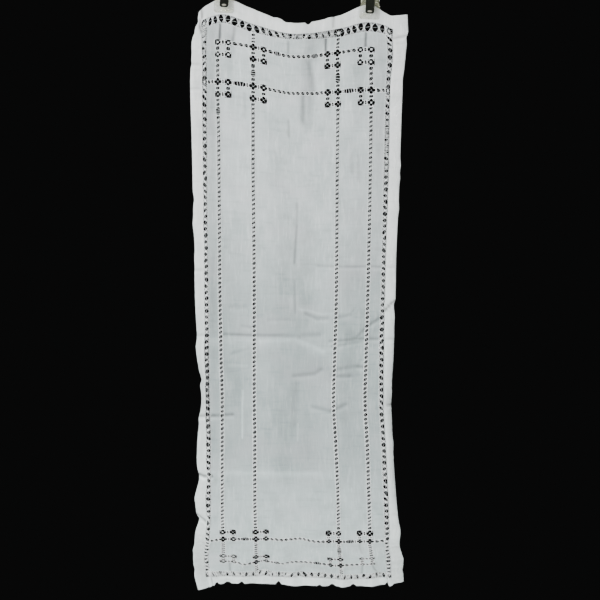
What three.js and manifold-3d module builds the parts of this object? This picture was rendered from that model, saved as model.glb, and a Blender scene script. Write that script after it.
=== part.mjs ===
// Drawn-thread table runner, hanging from two clear hanger clips.
// Millimetres, X across, +Z up, and the runner's face looks towards -Y.
// The origin lies on the line of the hanger's bar, halfway between the two clips.
import * as THREE from "three";
import { mergeVertices } from "three/addons/utils/BufferGeometryUtils.js";
import Module from "manifold-3d";

const wasm = await Module();
wasm.setup();

// The cloth as cut and sewn, measured flat
const CLOTH = { width: 390, length: 1090, hem: 19.6, thick: 1.0, hemThick: 1.6 };
const HALF = CLOTH.width / 2;
const HEM_LINE = HALF - CLOTH.hem;

// The open border inside the hem: gaps between gathered bundles of thread
const BORDER = { width: 15.7, gapWidth: 8.4, gapReach: 14.4, gapsAcross: 27, gapsDown: 85, cornerHole: 10 };
const GROUND_EDGE = HEM_LINE - BORDER.width;
const GROUND_TOP = CLOTH.hem + BORDER.width;
const GROUND_BOTTOM = CLOTH.length - GROUND_TOP;

// The ladder lines, and the open squares where they cross: a second square lies one step further in
const LINES = { outer: 136, inner: 76, first: 68.5, second: 139 };
const SQUARE = { side: 10, step: 21 };

// The hanger line and the clips
const HANGER = { clipFromMiddle: 129.5, tilt: THREE.MathUtils.degToRad(2.56), topEdgeBelow: 28.8 };
const CLIP = {
  width: 36,
  lipBelow: 38,
  lipTall: 5,
  hollowBelow: 31,
  jawTop: 8,
  gapToCloth: 0.3,
  hollow: 3.6,
  wall: 2.4,
  ridge: 0.15,
  barHalf: 5.5,
  ridgeTall: 3,
};
const SPRING = { width: 15.5, thick: 0.9, bendAt: 5, bendInside: 6.5, endBelow: 28.7, endInside: 6.15, chamfer: 2.5 };

// Where lengthwise lines of the cloth hang, in mm across from the middle, a row for each height.
// A column's first word is its side, and its second is the line: the cloth's edge, the hem line,
// the ground's edge, the outer and the inner ladder line.
const ACROSS_LINES = {
  leftEdge: -HALF,
  leftHem: -HEM_LINE,
  leftGround: -GROUND_EDGE,
  leftOuter: -LINES.outer,
  leftInner: -LINES.inner,
  middle: 0,
  rightInner: LINES.inner,
  rightOuter: LINES.outer,
  rightGround: GROUND_EDGE,
  rightHem: HEM_LINE,
  rightEdge: HALF,
};
const ACROSS = table(
  "down leftEdge leftHem leftGround leftOuter leftInner middle rightInner rightOuter rightGround rightHem rightEdge",
  [0, -176, -169, -159, -139, -77, -1, 72, 133, 157, 169, 196],
  [27.5, -180, -171, -160, -142, -78, -1, 73, 131, 157, 170, 197],
  [68.5, -187, -170, -162, -142, -79, -2, 71, 131, 160, 170, 193],
  [139, -191, -170, -161, -142, -79, -3, 72, 131, 157, 165, 187],
  [255, -188, -169, -161, -140, -79, -3, 71, 130, 154, 163, 183],
  [510, -183, -166, -158, -138, -77, -4, 69, 125, 148, 156, 175],
  [620, -177, -165, -157, -136, -77, -6, 66, 122, 145, 154, 171],
  [690, -172, -164, -156, -134, -77, -6, 64, 120, 145, 153, 167],
  [770, -179, -163, -154, -134, -76, -4, 68, 124, 149, 157, 170],
  [865, -181, -163, -154, -134, -76, -1, 72, 127, 153, 162, 176],
  [951, -185, -166, -158, -134, -75, 0, 74, 130, 157, 165, 185],
  [1021, -191, -171, -163, -136, -76, 1, 79, 137, 162, 171, 193],
  [1062, -191, -171, -162, -137, -75, 1, 81, 140, 165, 174, 196],
  [1090, -185, -167, -158, -136, -76, 1, 81, 141, 166, 175, 198],
);

// How far crosswise lines of the cloth sag below level, in mm: up at the clips and down between them
const SAG_LINES = {
  leftEdge: -HALF,
  leftHem: -HEM_LINE,
  leftGround: -GROUND_EDGE,
  leftClip: -128,
  leftInner: -LINES.inner,
  middle: 0,
  rightInner: LINES.inner,
  rightClip: 132,
  rightGround: GROUND_EDGE,
  rightHem: HEM_LINE,
  rightEdge: HALF,
};
const SAG = table(
  "down leftEdge leftHem leftGround leftClip leftInner middle rightInner rightClip rightGround rightHem rightEdge",
  [0, 1.5, -5.5, -12, -23, -2.5, 22, 8.5, -12, 3.5, 8.5, 6],
  [19.6, 0, -3, -8, -14, 4, 22, 12, 0, 6, 12, 10.5],
  [35.3, 0, -3, -8, -14, 3, 16.5, 11, 1, 6, 11, 10],
  [68.5, -10.5, -11.5, -12.5, -13.5, -4.5, 14, 6, 0, 2.5, 3.5, 3.5],
  [139, -12.5, -13, -13, -13.5, -5.5, 8.5, 5, 1.5, 2.5, 4, 4],
  [300, -7, -7, -7, -7, -3.5, 3.5, 2.5, 1, 1.5, 2, 2],
  [600, 0, 0, 0, 0, 0, 0, 0, 0, 0, 0, 0],
  [930, 0, 0, 0, 0, 0, 0, 0, 0, 0, 0, 0],
  [1021, -4, -4, -4, -3, -1, -2, 4, 2, 0, 0, 0],
  [1062, -2, -2, -3, -3, -2, -2, 3, 2, 0, 0, 0],
  [1090, 9, 5.5, 1.5, -2, -1.5, 1.5, 3, 3, 0, -2, -5],
);

// The lower end keeps its curl and leans back: degrees from hanging straight
const LEAN = table("down degrees", [0, 0], [855, 0], [905, 16], [940, 35], [975, 43], [1040, 48], [CLOTH.length, 38]);

// How far the outer edge of each side hem curls back out of the cloth's plane
const CURL = table(
  "down left right",
  [0, 6, 2],
  [68, 5, 1],
  [139, 2, 1],
  [255, 4, 2],
  [510, 9, 4],
  [620, 14, 9],
  [690, 17, 13],
  [770, 9, 10],
  [865, 7, 8],
  [951, 2, 2],
  [1090, -3, 3],
);

// Soft lengthwise folds: depth is back from the viewer, and drift is how far the fold wanders on its way down
const FOLDS = table(
  "across drift from to depth width",
  [-104, -6, 14, 190, 4.5, 13],
  [-52, 8, 30, 420, -4, 26],
  [4, 6, -60, 260, -6, 40],
  [34, -4, 10, 240, 5, 14],
  [96, 8, 20, 230, -4.5, 18],
  [-104, 10, 260, 900, 5, 26],
  [-38, -8, 330, 930, -5, 30],
  [30, 6, 260, 900, 4.5, 26],
  [88, -6, 300, 920, -5, 26],
);

// Old pressed creases that run across: depth at the middle of each, and its half width along the cloth
const CREASES = table("down depth reach", [578, 3, 16], [470, -2, 20], [742, 2, 22]);

// Nips in the side hems: side is -1 left and 1 right
const NIPS = table("side down inward reach", [-1, 832, 5, 16], [-1, 905, 2, 14], [1, 548, 2.5, 16], [1, 700, 3, 20]);

// The bottom hem ruffles a little
const RUFFLE = { from: 1000, depth: 3.5, length: 47, second: 1.5, secondLength: 29 };

// The cloth is flat between the jaws, out to this far round each clip's middle
const GRIP = { across: [24, 46], down: [38, 60], clips: [-128, 132] };

// A table with named columns, a row for each section
function table(columns, ...rows) {
  const names = columns.split(" ");
  return rows.map((row) => Object.fromEntries(names.map((name, i) => [name, row[i]])));
}

// A curve through values at rising stops, with no overshoot between them
function curveThrough(stops, values) {
  const chords = stops.slice(1).map((stop, i) => (values[i + 1] - values[i]) / (stop - stops[i]));
  const slopes = stops.map((stop, i) => {
    if (i === 0) return chords[0];
    if (i === stops.length - 1) return chords[i - 1];
    const before = chords[i - 1];
    const after = chords[i];
    return before * after <= 0 ? 0 : (2 * before * after) / (before + after);
  });
  return (at) => {
    let i = 0;
    while (i < stops.length - 2 && at > stops[i + 1]) i += 1;
    const span = stops[i + 1] - stops[i];
    const t = THREE.MathUtils.clamp((at - stops[i]) / span, 0, 1);
    const rise = 3 * t * t - 2 * t * t * t;
    const leave = t * (1 - t) * (1 - t) * slopes[i];
    const arrive = t * t * (t - 1) * slopes[i + 1];
    return values[i] * (1 - rise) + values[i + 1] * rise + span * (leave + arrive);
  };
}

// A surface through a table: along each named line first, then across the lines
function surfaceThrough(lines, rows) {
  const names = Object.keys(lines);
  const places = Object.values(lines);
  const down = rows.map((row) => row.down);
  const curves = names.map((name) =>
    curveThrough(
      down,
      rows.map((row) => row[name]),
    ),
  );
  return (u, v) =>
    curveThrough(
      places,
      curves.map((curve) => curve(v)),
    )(u);
}

// How far the cloth has come down and gone back at each millimetre of its length, from the lean
function leanPath() {
  const fall = [0];
  const back = [0];
  for (let v = 1; v <= CLOTH.length; v += 1) {
    const angle = THREE.MathUtils.degToRad(straightThrough(LEAN, "degrees", v - 0.5));
    fall.push(fall[v - 1] + Math.cos(angle));
    back.push(back[v - 1] + Math.sin(angle));
  }
  return { fall, back };
}

// Straight lines through one column of a table
function straightThrough(rows, name, v) {
  let i = 0;
  while (i < rows.length - 2 && v > rows[i + 1].down) i += 1;
  const t = THREE.MathUtils.clamp((v - rows[i].down) / (rows[i + 1].down - rows[i].down), 0, 1);
  return THREE.MathUtils.lerp(rows[i][name], rows[i + 1][name], t);
}

// A value between two whole millimetres of a list
function between(list, v) {
  const low = Math.min(Math.floor(v), list.length - 2);
  return THREE.MathUtils.lerp(list[low], list[low + 1], v - low);
}

const across = surfaceThrough(ACROSS_LINES, ACROSS);
const sag = surfaceThrough(SAG_LINES, SAG);
const lean = leanPath();
const { smoothstep } = THREE.MathUtils;
const bell = (x) => Math.exp(-x * x);

// 0 between the jaws of a clip, 1 where the cloth hangs free
function freedom(u, v) {
  const held = GRIP.clips.map((clip) => 1 - smoothstep(Math.abs(u - clip), ...GRIP.across));
  return 1 - Math.max(...held) * (1 - smoothstep(v, ...GRIP.down));
}

function nip(u, v) {
  const outer = smoothstep(Math.abs(u), GROUND_EDGE, HALF);
  const here = NIPS.filter((row) => row.side * u > 0);
  return here.reduce((sum, row) => sum - row.side * row.inward * outer * bell((v - row.down) / row.reach), 0);
}

function foldDepth(u, v) {
  return FOLDS.reduce((sum, fold) => {
    const t = (v - fold.from) / (fold.to - fold.from);
    const strength = smoothstep(t, 0, 0.3) * (1 - smoothstep(t, 0.7, 1));
    return sum + fold.depth * strength * bell((u - fold.across - fold.drift * t) / fold.width);
  }, 0);
}

function ruffleDepth(u, v) {
  const strength = smoothstep(v, RUFFLE.from, CLOTH.length);
  const main = RUFFLE.depth * Math.sin((2 * Math.PI * u) / RUFFLE.length);
  const second = RUFFLE.second * Math.sin((2 * Math.PI * u) / RUFFLE.secondLength + 1);
  return strength * (main + second);
}

function depth(u, v) {
  const outer = THREE.MathUtils.clamp((Math.abs(u) - GROUND_EDGE) / (HALF - GROUND_EDGE), 0, 1);
  const curl = straightThrough(CURL, u < 0 ? "left" : "right", v) * outer * outer;
  const creases = CREASES.reduce((sum, row) => sum + row.depth * bell((v - row.down) / row.reach), 0);
  return between(lean.back, v) + freedom(u, v) * (curl + foldDepth(u, v) + creases + ruffleDepth(u, v));
}

// The place in the hanging cloth of a point of the flat cloth, u across from its middle and v down from its top
function hang(u, v) {
  const height = -HANGER.topEdgeBelow - between(lean.fall, v) - sag(u, v);
  return new THREE.Vector3(across(u, v) + nip(u, v), depth(u, v), height);
}

// The cloth's face there looks this way
function facing(u, v) {
  const step = 1;
  const alongU = hang(Math.min(u + step, HALF), v).sub(hang(Math.max(u - step, -HALF), v));
  const alongV = hang(u, Math.min(v + step, CLOTH.length)).sub(hang(u, Math.max(v - step, 0)));
  return alongV.cross(alongU).normalize();
}

function thickness(u, v) {
  const toEdge = Math.min(HALF - Math.abs(u), v, CLOTH.length - v);
  const t = 1 - smoothstep(toEdge, CLOTH.hem, CLOTH.hem + BORDER.width / 2);
  return THREE.MathUtils.lerp(CLOTH.thick, CLOTH.hemThick, t);
}

// A flat pattern: points of the flat cloth and the faces between them, shared points kept once
class FlatPattern {
  constructor() {
    this.points = [];
    this.faces = [];
    this.known = new Map();
  }

  point([u, v]) {
    const key = `${u.toFixed(3)} ${v.toFixed(3)}`;
    if (!this.known.has(key)) {
      this.known.set(key, this.points.length);
      this.points.push([u, v]);
    }
    return this.known.get(key);
  }

  // A triangle, turned so that it runs anticlockwise on the cloth's face
  triangle(a, b, c) {
    const turn = (b[0] - a[0]) * (c[1] - a[1]) - (b[1] - a[1]) * (c[0] - a[0]);
    const corners = turn < 0 ? [a, b, c] : [a, c, b];
    this.faces.push(corners.map((corner) => this.point(corner)));
  }

  rectangle(u0, u1, v0, v1) {
    this.triangle([u0, v0], [u1, v0], [u1, v1]);
    this.triangle([u0, v0], [u1, v1], [u0, v1]);
  }

  // The strip between two rows of points that run the same way
  strip(one, other) {
    let i = 0;
    let j = 0;
    const apart = (a, b) => Math.hypot(a[0] - b[0], a[1] - b[1]);
    while (i < one.length - 1 || j < other.length - 1) {
      const canStepOne = i < one.length - 1;
      const canStepOther = j < other.length - 1;
      const stepOne =
        canStepOne && (!canStepOther || apart(one[i + 1], other[j]) < apart(one[i], other[j + 1]));
      if (stepOne) {
        this.triangle(one[i], one[i + 1], other[j]);
        i += 1;
      } else {
        this.triangle(one[i], other[j], other[j + 1]);
        j += 1;
      }
    }
  }

  // The cloth round a hole: each side of the hole is joined to the outline's side that faces it
  ring(outline, hole) {
    outline.forEach((corner, i) => {
      const next = (i + 1) % outline.length;
      this.triangle(corner, outline[next], hole[next]);
      this.triangle(corner, hole[next], hole[i]);
    });
  }
}

// Evenly spaced stations from one place to another
function stations(from, to, count) {
  return Array.from({ length: count + 1 }, (unused, i) => from + ((to - from) * i) / count);
}

const GAPS_ACROSS = stations(-GROUND_EDGE, GROUND_EDGE, BORDER.gapsAcross);
const GAPS_DOWN = stations(GROUND_TOP, GROUND_BOTTOM, BORDER.gapsDown);

// The two ends of the cloth's length, measured from its top edge
const bothEnds = (down) => [down, CLOTH.length - down];
const motifStops = (line) => [line, line + SQUARE.step];
const squaresDown = [...motifStops(LINES.first), ...motifStops(LINES.second)].flatMap(bothEnds);
const squaresAcross = [LINES.outer, LINES.outer - SQUARE.step, LINES.inner, LINES.inner - SQUARE.step].flatMap((u) => [
  u,
  -u,
]);
const squareSides = (centre) => [centre - SQUARE.side / 2, centre + SQUARE.side / 2];
const rising = (list) => [...new Set(list)].sort((a, b) => a - b);

// The ground's own grid: close lines where the squares are, and wide ones down the plain middle
const GRID = { inset: 8, plainFrom: 205, plainTo: 885, plainRows: 20, plainColumns: 10, extra: 10.5 };
const GRID_SIDE = GROUND_EDGE - GRID.inset;
const GRID_TOP = GROUND_TOP + GRID.inset;
const FINE_ACROSS = rising([-GRID_SIDE, -25, 0, 25, GRID_SIDE, ...squaresAcross.flatMap(squareSides)]);
const PLAIN_ACROSS = stations(-GRID_SIDE, GRID_SIDE, GRID.plainColumns);
const PLAIN_DOWN = stations(GRID.plainFrom, GRID.plainTo, GRID.plainRows);
const betweenLines = (LINES.first + SQUARE.step + LINES.second) / 2;
const FINE_DOWN = rising(
  [
    GRID_TOP,
    GRID_TOP + GRID.extra,
    betweenLines,
    LINES.second + SQUARE.step + SQUARE.side / 2 + GRID.extra,
  ]
    .flatMap(bothEnds)
    .concat(squaresDown.flatMap(squareSides)),
);
const TOP_DOWN = FINE_DOWN.filter((v) => v < CLOTH.length / 2);
const BOTTOM_DOWN = FINE_DOWN.filter((v) => v > CLOTH.length / 2);

function isSquare(u, v) {
  return squaresAcross.some((c) => Math.abs(c - u) < 1) && squaresDown.some((c) => Math.abs(c - v) < 1);
}

function gridBlock(pattern, columns, rows) {
  for (let r = 0; r < rows.length - 1; r += 1) {
    for (let c = 0; c < columns.length - 1; c += 1) {
      const middle = [(columns[c] + columns[c + 1]) / 2, (rows[r] + rows[r + 1]) / 2];
      if (isSquare(...middle)) continue;
      pattern.rectangle(columns[c], columns[c + 1], rows[r], rows[r + 1]);
    }
  }
}

const rowAt = (columns, v) => columns.map((u) => [u, v]);
const columnAt = (u, rows) => rows.map((v) => [u, v]);

function addGround(pattern) {
  gridBlock(pattern, FINE_ACROSS, TOP_DOWN);
  gridBlock(pattern, PLAIN_ACROSS, PLAIN_DOWN);
  gridBlock(pattern, FINE_ACROSS, BOTTOM_DOWN);
  pattern.strip(rowAt(FINE_ACROSS, TOP_DOWN.at(-1)), rowAt(PLAIN_ACROSS, PLAIN_DOWN[0]));
  pattern.strip(rowAt(PLAIN_ACROSS, PLAIN_DOWN.at(-1)), rowAt(FINE_ACROSS, BOTTOM_DOWN[0]));
  const gridDown = [...TOP_DOWN, ...PLAIN_DOWN, ...BOTTOM_DOWN];
  for (const [edge, grid] of [
    [GROUND_TOP, TOP_DOWN[0]],
    [GROUND_BOTTOM, BOTTOM_DOWN.at(-1)],
  ]) {
    pattern.strip(rowAt(GAPS_ACROSS, edge), rowAt(FINE_ACROSS, grid));
  }
  for (const side of [-1, 1]) {
    pattern.strip(columnAt(side * GROUND_EDGE, GAPS_DOWN), columnAt(side * GRID_SIDE, gridDown));
  }
}

// One run of the border: place turns a distance along it and a distance across it into a flat point
function addBorderRun(pattern, stops, place) {
  const reach = BORDER.gapReach / 2;
  const gap = BORDER.gapWidth / 2;
  for (let i = 0; i < stops.length - 1; i += 1) {
    const middle = (stops[i] + stops[i + 1]) / 2;
    const left = place(middle - gap, 0);
    const right = place(middle + gap, 0);
    for (const side of [-1, 1]) {
      const start = place(stops[i], (side * BORDER.width) / 2);
      const end = place(stops[i + 1], (side * BORDER.width) / 2);
      const tip = place(middle, side * reach);
      pattern.triangle(start, end, tip);
      pattern.triangle(start, tip, left);
      pattern.triangle(end, tip, right);
      if (i > 0) pattern.triangle(start, left, place(stops[i - 1] / 2 + stops[i] / 2 + gap, 0));
    }
  }
  closeBorderEnd(pattern, place, stops[0], (stops[0] + stops[1]) / 2 - gap);
  closeBorderEnd(pattern, place, stops.at(-1), (stops.at(-1) + stops.at(-2)) / 2 + gap);
}

// The bundle at the end of a run stands against the corner square
function closeBorderEnd(pattern, place, end, gapTip) {
  pattern.triangle(place(end, -BORDER.width / 2), place(end, BORDER.width / 2), place(gapTip, 0));
}

function addBorder(pattern) {
  const middleLine = CLOTH.hem + BORDER.width / 2;
  for (const side of [-1, 1]) {
    const v = side < 0 ? middleLine : CLOTH.length - middleLine;
    const u = side * (HALF - middleLine);
    addBorderRun(pattern, GAPS_ACROSS, (along, out) => [along, v + out]);
    addBorderRun(pattern, GAPS_DOWN, (along, out) => [u + out, along]);
    for (const end of [-1, 1]) {
      const corner = (half) => squareAround(end * (HALF - middleLine), v, half);
      pattern.ring(corner(BORDER.width / 2), corner(BORDER.cornerHole / 2));
    }
  }
}

function squareAround(u, v, half) {
  return [
    [u - half, v - half],
    [u + half, v - half],
    [u + half, v + half],
    [u - half, v + half],
  ];
}

function addHem(pattern) {
  const acrossStops = [-HALF, -HEM_LINE, ...GAPS_ACROSS, HEM_LINE, HALF];
  const downStops = [CLOTH.hem, ...GAPS_DOWN, CLOTH.length - CLOTH.hem];
  gridBlock(pattern, acrossStops, [0, CLOTH.hem]);
  gridBlock(pattern, acrossStops, [CLOTH.length - CLOTH.hem, CLOTH.length]);
  gridBlock(pattern, [-HALF, -HEM_LINE], downStops);
  gridBlock(pattern, [HEM_LINE, HALF], downStops);
}

// The hanging sheet: the pattern's front and back faces, and a wall wherever a face has no neighbour
function hungSheet(pattern) {
  const count = pattern.points.length;
  const front = [];
  const back = [];
  for (const [u, v] of pattern.points) {
    const middle = hang(u, v);
    const half = facing(u, v).multiplyScalar(thickness(u, v) / 2);
    front.push(...middle.clone().add(half).toArray());
    back.push(...middle.clone().sub(half).toArray());
  }
  const faces = [];
  const directed = new Set();
  for (const [a, b, c] of pattern.faces) {
    faces.push(a, b, c, a + count, c + count, b + count);
    for (const [from, to] of [
      [a, b],
      [b, c],
      [c, a],
    ]) {
      directed.add(from * count + to);
    }
  }
  for (const edge of directed) {
    const from = Math.floor(edge / count);
    const to = edge % count;
    if (directed.has(to * count + from)) continue;
    faces.push(to, from, from + count, to, from + count, to + count);
  }
  const geometry = new THREE.BufferGeometry();
  geometry.setAttribute("position", new THREE.Float32BufferAttribute([...front, ...back], 3));
  geometry.setIndex(faces);
  return geometry;
}

function runnerCloth() {
  const pattern = new FlatPattern();
  addGround(pattern);
  addBorder(pattern);
  addHem(pattern);
  return hungSheet(pattern);
}

// A closed three.js geometry as a solid that can be cut, and back again
function toSolid(geometry) {
  const bare = geometry.clone();
  bare.deleteAttribute("normal");
  bare.deleteAttribute("uv");
  const merged = mergeVertices(bare, 1e-4);
  const mesh = new wasm.Mesh({
    numProp: 3,
    vertProperties: new Float32Array(merged.attributes.position.array),
    triVerts: new Uint32Array(merged.index.array),
  });
  return new wasm.Manifold(mesh);
}

function fromSolid(solid) {
  const mesh = solid.getMesh();
  const geometry = new THREE.BufferGeometry();
  geometry.setAttribute("position", new THREE.Float32BufferAttribute(mesh.vertProperties, 3));
  geometry.setIndex(Array.from(mesh.triVerts));
  return geometry;
}

const AXIS = {
  x: new THREE.Vector3(1, 0, 0),
  y: new THREE.Vector3(0, 1, 0),
  z: new THREE.Vector3(0, 0, 1),
};

// A side profile, drawn as depth and height, carried across the clip
function acrossClip(profile, width) {
  const geometry = new THREE.ExtrudeGeometry(profile, { depth: width, bevelEnabled: false, curveSegments: 8 });
  geometry.translate(0, 0, -width / 2);
  return geometry.applyMatrix4(new THREE.Matrix4().makeBasis(AXIS.y, AXIS.z, AXIS.x));
}

// A front outline, drawn as width and height, carried through the clip from front to back
function throughClip(outline) {
  const reach = 30;
  const geometry = new THREE.ExtrudeGeometry(outline, { depth: reach, bevelEnabled: false, curveSegments: 4 });
  geometry.translate(0, 0, -reach / 2);
  return geometry.applyMatrix4(new THREE.Matrix4().makeBasis(AXIS.x, AXIS.z, AXIS.y.clone().negate()));
}

function polygon(points) {
  return new THREE.Shape(points.map(([x, y]) => new THREE.Vector2(x, y)));
}

// A jaw's side profile: a lip on the hem, a hollow, then two ridges that shut the bar's channel
function jawProfile(side) {
  const lip = CLOTH.hemThick / 2 + CLIP.gapToCloth;
  const { lipBelow, lipTall, hollowBelow, hollow, wall, ridge, barHalf, ridgeTall, jawTop } = CLIP;
  const outside = hollow + wall - 0.2;
  const points = [
    [lip + 0.3, -lipBelow],
    [lip, -lipBelow + 0.6],
    [lip, -lipBelow + lipTall],
    [hollow - 0.4, -hollowBelow],
    [hollow, -barHalf - ridgeTall - 2],
    [ridge, -barHalf - ridgeTall],
    [ridge, -barHalf - 1],
    [hollow, -barHalf],
    [hollow, barHalf - 0.5],
    [ridge, barHalf + 0.3],
    [ridge, jawTop],
    [outside - 1.2, jawTop],
    [outside, barHalf - 0.5],
    [outside - 0.1, -hollowBelow + 3],
    [lip + wall, -lipBelow + 1.5],
    [lip + wall - 0.8, -lipBelow],
  ];
  return polygon(points.map(([out, up]) => [side * out, up]));
}

// A jaw's front outline: round lower corners, a slight waist and round finger tabs
function jawOutline() {
  const half = CLIP.width / 2;
  const corner = 4;
  const waist = 2;
  const shape = new THREE.Shape();
  shape.moveTo(-half + corner, -CLIP.lipBelow);
  shape.lineTo(half - corner, -CLIP.lipBelow);
  shape.absarc(half - corner, -CLIP.lipBelow + corner, corner, -Math.PI / 2, 0);
  shape.lineTo(half, -20);
  shape.lineTo(half - waist, -9);
  shape.lineTo(half - waist / 2, 2);
  shape.lineTo(half - corner, CLIP.jawTop);
  shape.lineTo(-half + corner, CLIP.jawTop);
  shape.lineTo(-half + waist / 2, 2);
  shape.lineTo(-half + waist, -9);
  shape.lineTo(-half, -20);
  shape.absarc(-half + corner, -CLIP.lipBelow + corner, corner, Math.PI, 1.5 * Math.PI);
  return shape;
}

function clipJaw(side) {
  const body = toSolid(acrossClip(jawProfile(side), CLIP.width + 2));
  return fromSolid(body.intersect(toSolid(throughClip(jawOutline()))));
}

// The spring's side profile: a strip up the front jaw, over the top in a half round and down the back jaw
function springProfile() {
  const inside = SPRING.bendInside;
  const outside = inside + SPRING.thick;
  const shape = new THREE.Shape();
  shape.moveTo(SPRING.endInside + SPRING.thick, -SPRING.endBelow);
  shape.lineTo(outside, SPRING.bendAt);
  shape.absarc(0, SPRING.bendAt, outside, 0, Math.PI);
  shape.lineTo(-SPRING.endInside - SPRING.thick, -SPRING.endBelow);
  shape.lineTo(-SPRING.endInside, -SPRING.endBelow);
  shape.lineTo(-inside, SPRING.bendAt);
  shape.absarc(0, SPRING.bendAt, inside, Math.PI, 0, true);
  shape.lineTo(SPRING.endInside, -SPRING.endBelow);
  return shape;
}

// The strip seen from the front: straight sides, and chamfered corners at its ends
function springOutline() {
  const half = SPRING.width / 2;
  const { endBelow, chamfer, bendAt } = SPRING;
  const top = bendAt + SPRING.bendInside + 2;
  return polygon([
    [-half, top],
    [-half, -endBelow + chamfer],
    [-half + chamfer, -endBelow],
    [half - chamfer, -endBelow],
    [half, -endBelow + chamfer],
    [half, top],
  ]);
}

function clipSpring() {
  const body = toSolid(acrossClip(springProfile(), SPRING.width + 2));
  return fromSolid(body.intersect(toSolid(throughClip(springOutline()))));
}

const materials = {
  linen: () => new THREE.MeshStandardMaterial({ color: 0xdfe3e4, roughness: 0.9, metalness: 0 }),
  clearPlastic: () =>
    new THREE.MeshStandardMaterial({ color: 0xdde0d4, roughness: 0.12, metalness: 0, transparent: true, opacity: 0.35 }),
  darkSteel: () => new THREE.MeshStandardMaterial({ color: 0x2b2d2c, roughness: 0.35, metalness: 0.9 }),
};

function named(name, geometry, material) {
  const mesh = new THREE.Mesh(geometry, material);
  mesh.name = name;
  return mesh;
}

// A clip stands square to the hanger's bar, with the bar's channel at its own origin
function hangerClip(side) {
  const clip = new THREE.Group();
  clip.position.x = side === "left" ? -HANGER.clipFromMiddle : HANGER.clipFromMiddle;
  clip.add(named(`${side}_clip_front_jaw`, clipJaw(-1), materials.clearPlastic()));
  clip.add(named(`${side}_clip_back_jaw`, clipJaw(1), materials.clearPlastic()));
  clip.add(named(`${side}_clip_spring`, clipSpring(), materials.darkSteel()));
  return clip;
}

const hangerLine = new THREE.Group();
hangerLine.rotation.y = HANGER.tilt;
hangerLine.add(hangerClip("left"), hangerClip("right"));

const part = new THREE.Group();
part.add(named("runner_cloth", runnerCloth(), materials.linen()), hangerLine);

export default part;
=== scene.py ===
# %% [markdown]
# # A drawn-thread table runner on two clear hanger clips
#
# The real runner is one length of fine white linen. Threads were pulled out of it in narrow bands, and the
# ones that stayed were gathered into little bundles, tied at their waists and stitched along both edges.
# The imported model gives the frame: every piece made below lies where that model says.

# %% Load the frame
from itertools import product

import bpy
import numpy as np
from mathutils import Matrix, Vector


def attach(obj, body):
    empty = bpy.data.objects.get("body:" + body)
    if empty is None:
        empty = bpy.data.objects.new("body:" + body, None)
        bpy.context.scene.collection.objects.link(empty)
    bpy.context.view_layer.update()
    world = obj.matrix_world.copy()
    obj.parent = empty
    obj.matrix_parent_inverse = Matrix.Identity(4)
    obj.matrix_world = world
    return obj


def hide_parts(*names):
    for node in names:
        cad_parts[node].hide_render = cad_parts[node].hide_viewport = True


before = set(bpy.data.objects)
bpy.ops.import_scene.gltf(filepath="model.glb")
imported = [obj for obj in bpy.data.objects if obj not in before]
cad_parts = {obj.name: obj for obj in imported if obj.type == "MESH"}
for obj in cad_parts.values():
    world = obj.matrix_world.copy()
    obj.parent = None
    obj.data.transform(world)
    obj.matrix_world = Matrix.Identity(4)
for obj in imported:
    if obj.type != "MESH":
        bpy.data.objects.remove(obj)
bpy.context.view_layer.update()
MM = 0.001
rng = np.random.default_rng(12)
print("nodes", sorted(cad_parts))

# %% [markdown]
# ## Camera, lights and floor
#
# The picture was taken face on from about the runner's middle height, against black. A long lens at 2.6 m
# repeats that. The floor is pale and lies well below the hem, where the picture doesn't reach, and soft
# panels light the face evenly, with a little more from the upper left so that the creases show.

# %% Camera
PICTURE = 600
MM_PER_PIXEL = 1.78
VIEW_DISTANCE = 2600
VIEW_CENTRE = (4.45, -543.1)

camera_data = bpy.data.cameras.new("camera")
camera_data.lens = camera_data.sensor_width * VIEW_DISTANCE / (PICTURE * MM_PER_PIXEL)
camera = bpy.data.objects.new("camera", camera_data)
bpy.context.collection.objects.link(camera)
camera.location = (VIEW_CENTRE[0] * MM, -VIEW_DISTANCE * MM, VIEW_CENTRE[1] * MM)
camera.rotation_euler = (np.pi / 2, 0, 0)
bpy.context.scene.camera = camera
print("lens", round(camera_data.lens, 1), "mm")


# %% Lights and background
def soft_panel(name, place, target, size, power):
    """A square area light at place, turned so that it looks at target (metres)."""
    data = bpy.data.lights.new(name, "AREA")
    data.energy = power
    data.size = size
    light = bpy.data.objects.new(name, data)
    bpy.context.collection.objects.link(light)
    light.location = place
    aim = Vector([t - p for t, p in zip(target, place)])
    light.rotation_euler = aim.to_track_quat("-Z", "Y").to_euler()


MIDDLE = (0, 0, -0.54)
NEARLY_BLACK = (0.0041, 0.0042, 0.0042, 1)
# Each: name, place, what it looks at, side in metres, watts
for panel in [
    ("light_upper_left", (-2.1, -1.6, 0.5), MIDDLE, 1.0, 92),
    ("light_front_right", (1.7, -2.5, -0.1), MIDDLE, 1.6, 40),
    ("light_low_front", (-0.5, -2.0, -0.98), (0, 0.1, -1.05), 0.7, 37),
    ("light_behind", (0.6, 2.4, 0.5), MIDDLE, 1.6, 50),
]:
    soft_panel(*panel)
    print(panel[0], panel[-1], "watts")

world = bpy.data.worlds.new("backdrop")
world.use_nodes = True
world.node_tree.nodes["Background"].inputs["Color"].default_value = NEARLY_BLACK
bpy.context.scene.world = world

# %% [markdown]
# ## Sizes of the cloth and its pattern
#
# All sizes are in millimetres, as a maker would note them, and are turned into metres when a mesh is made.
# A point of the cloth is named by u, across from its middle, and v, down from its top edge, both measured
# on the flat cloth. The cloth, its hem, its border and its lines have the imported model's sizes. The open
# squares are finer here: 11.4 mm wide with their own steps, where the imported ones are 10 mm on even steps.

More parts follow.
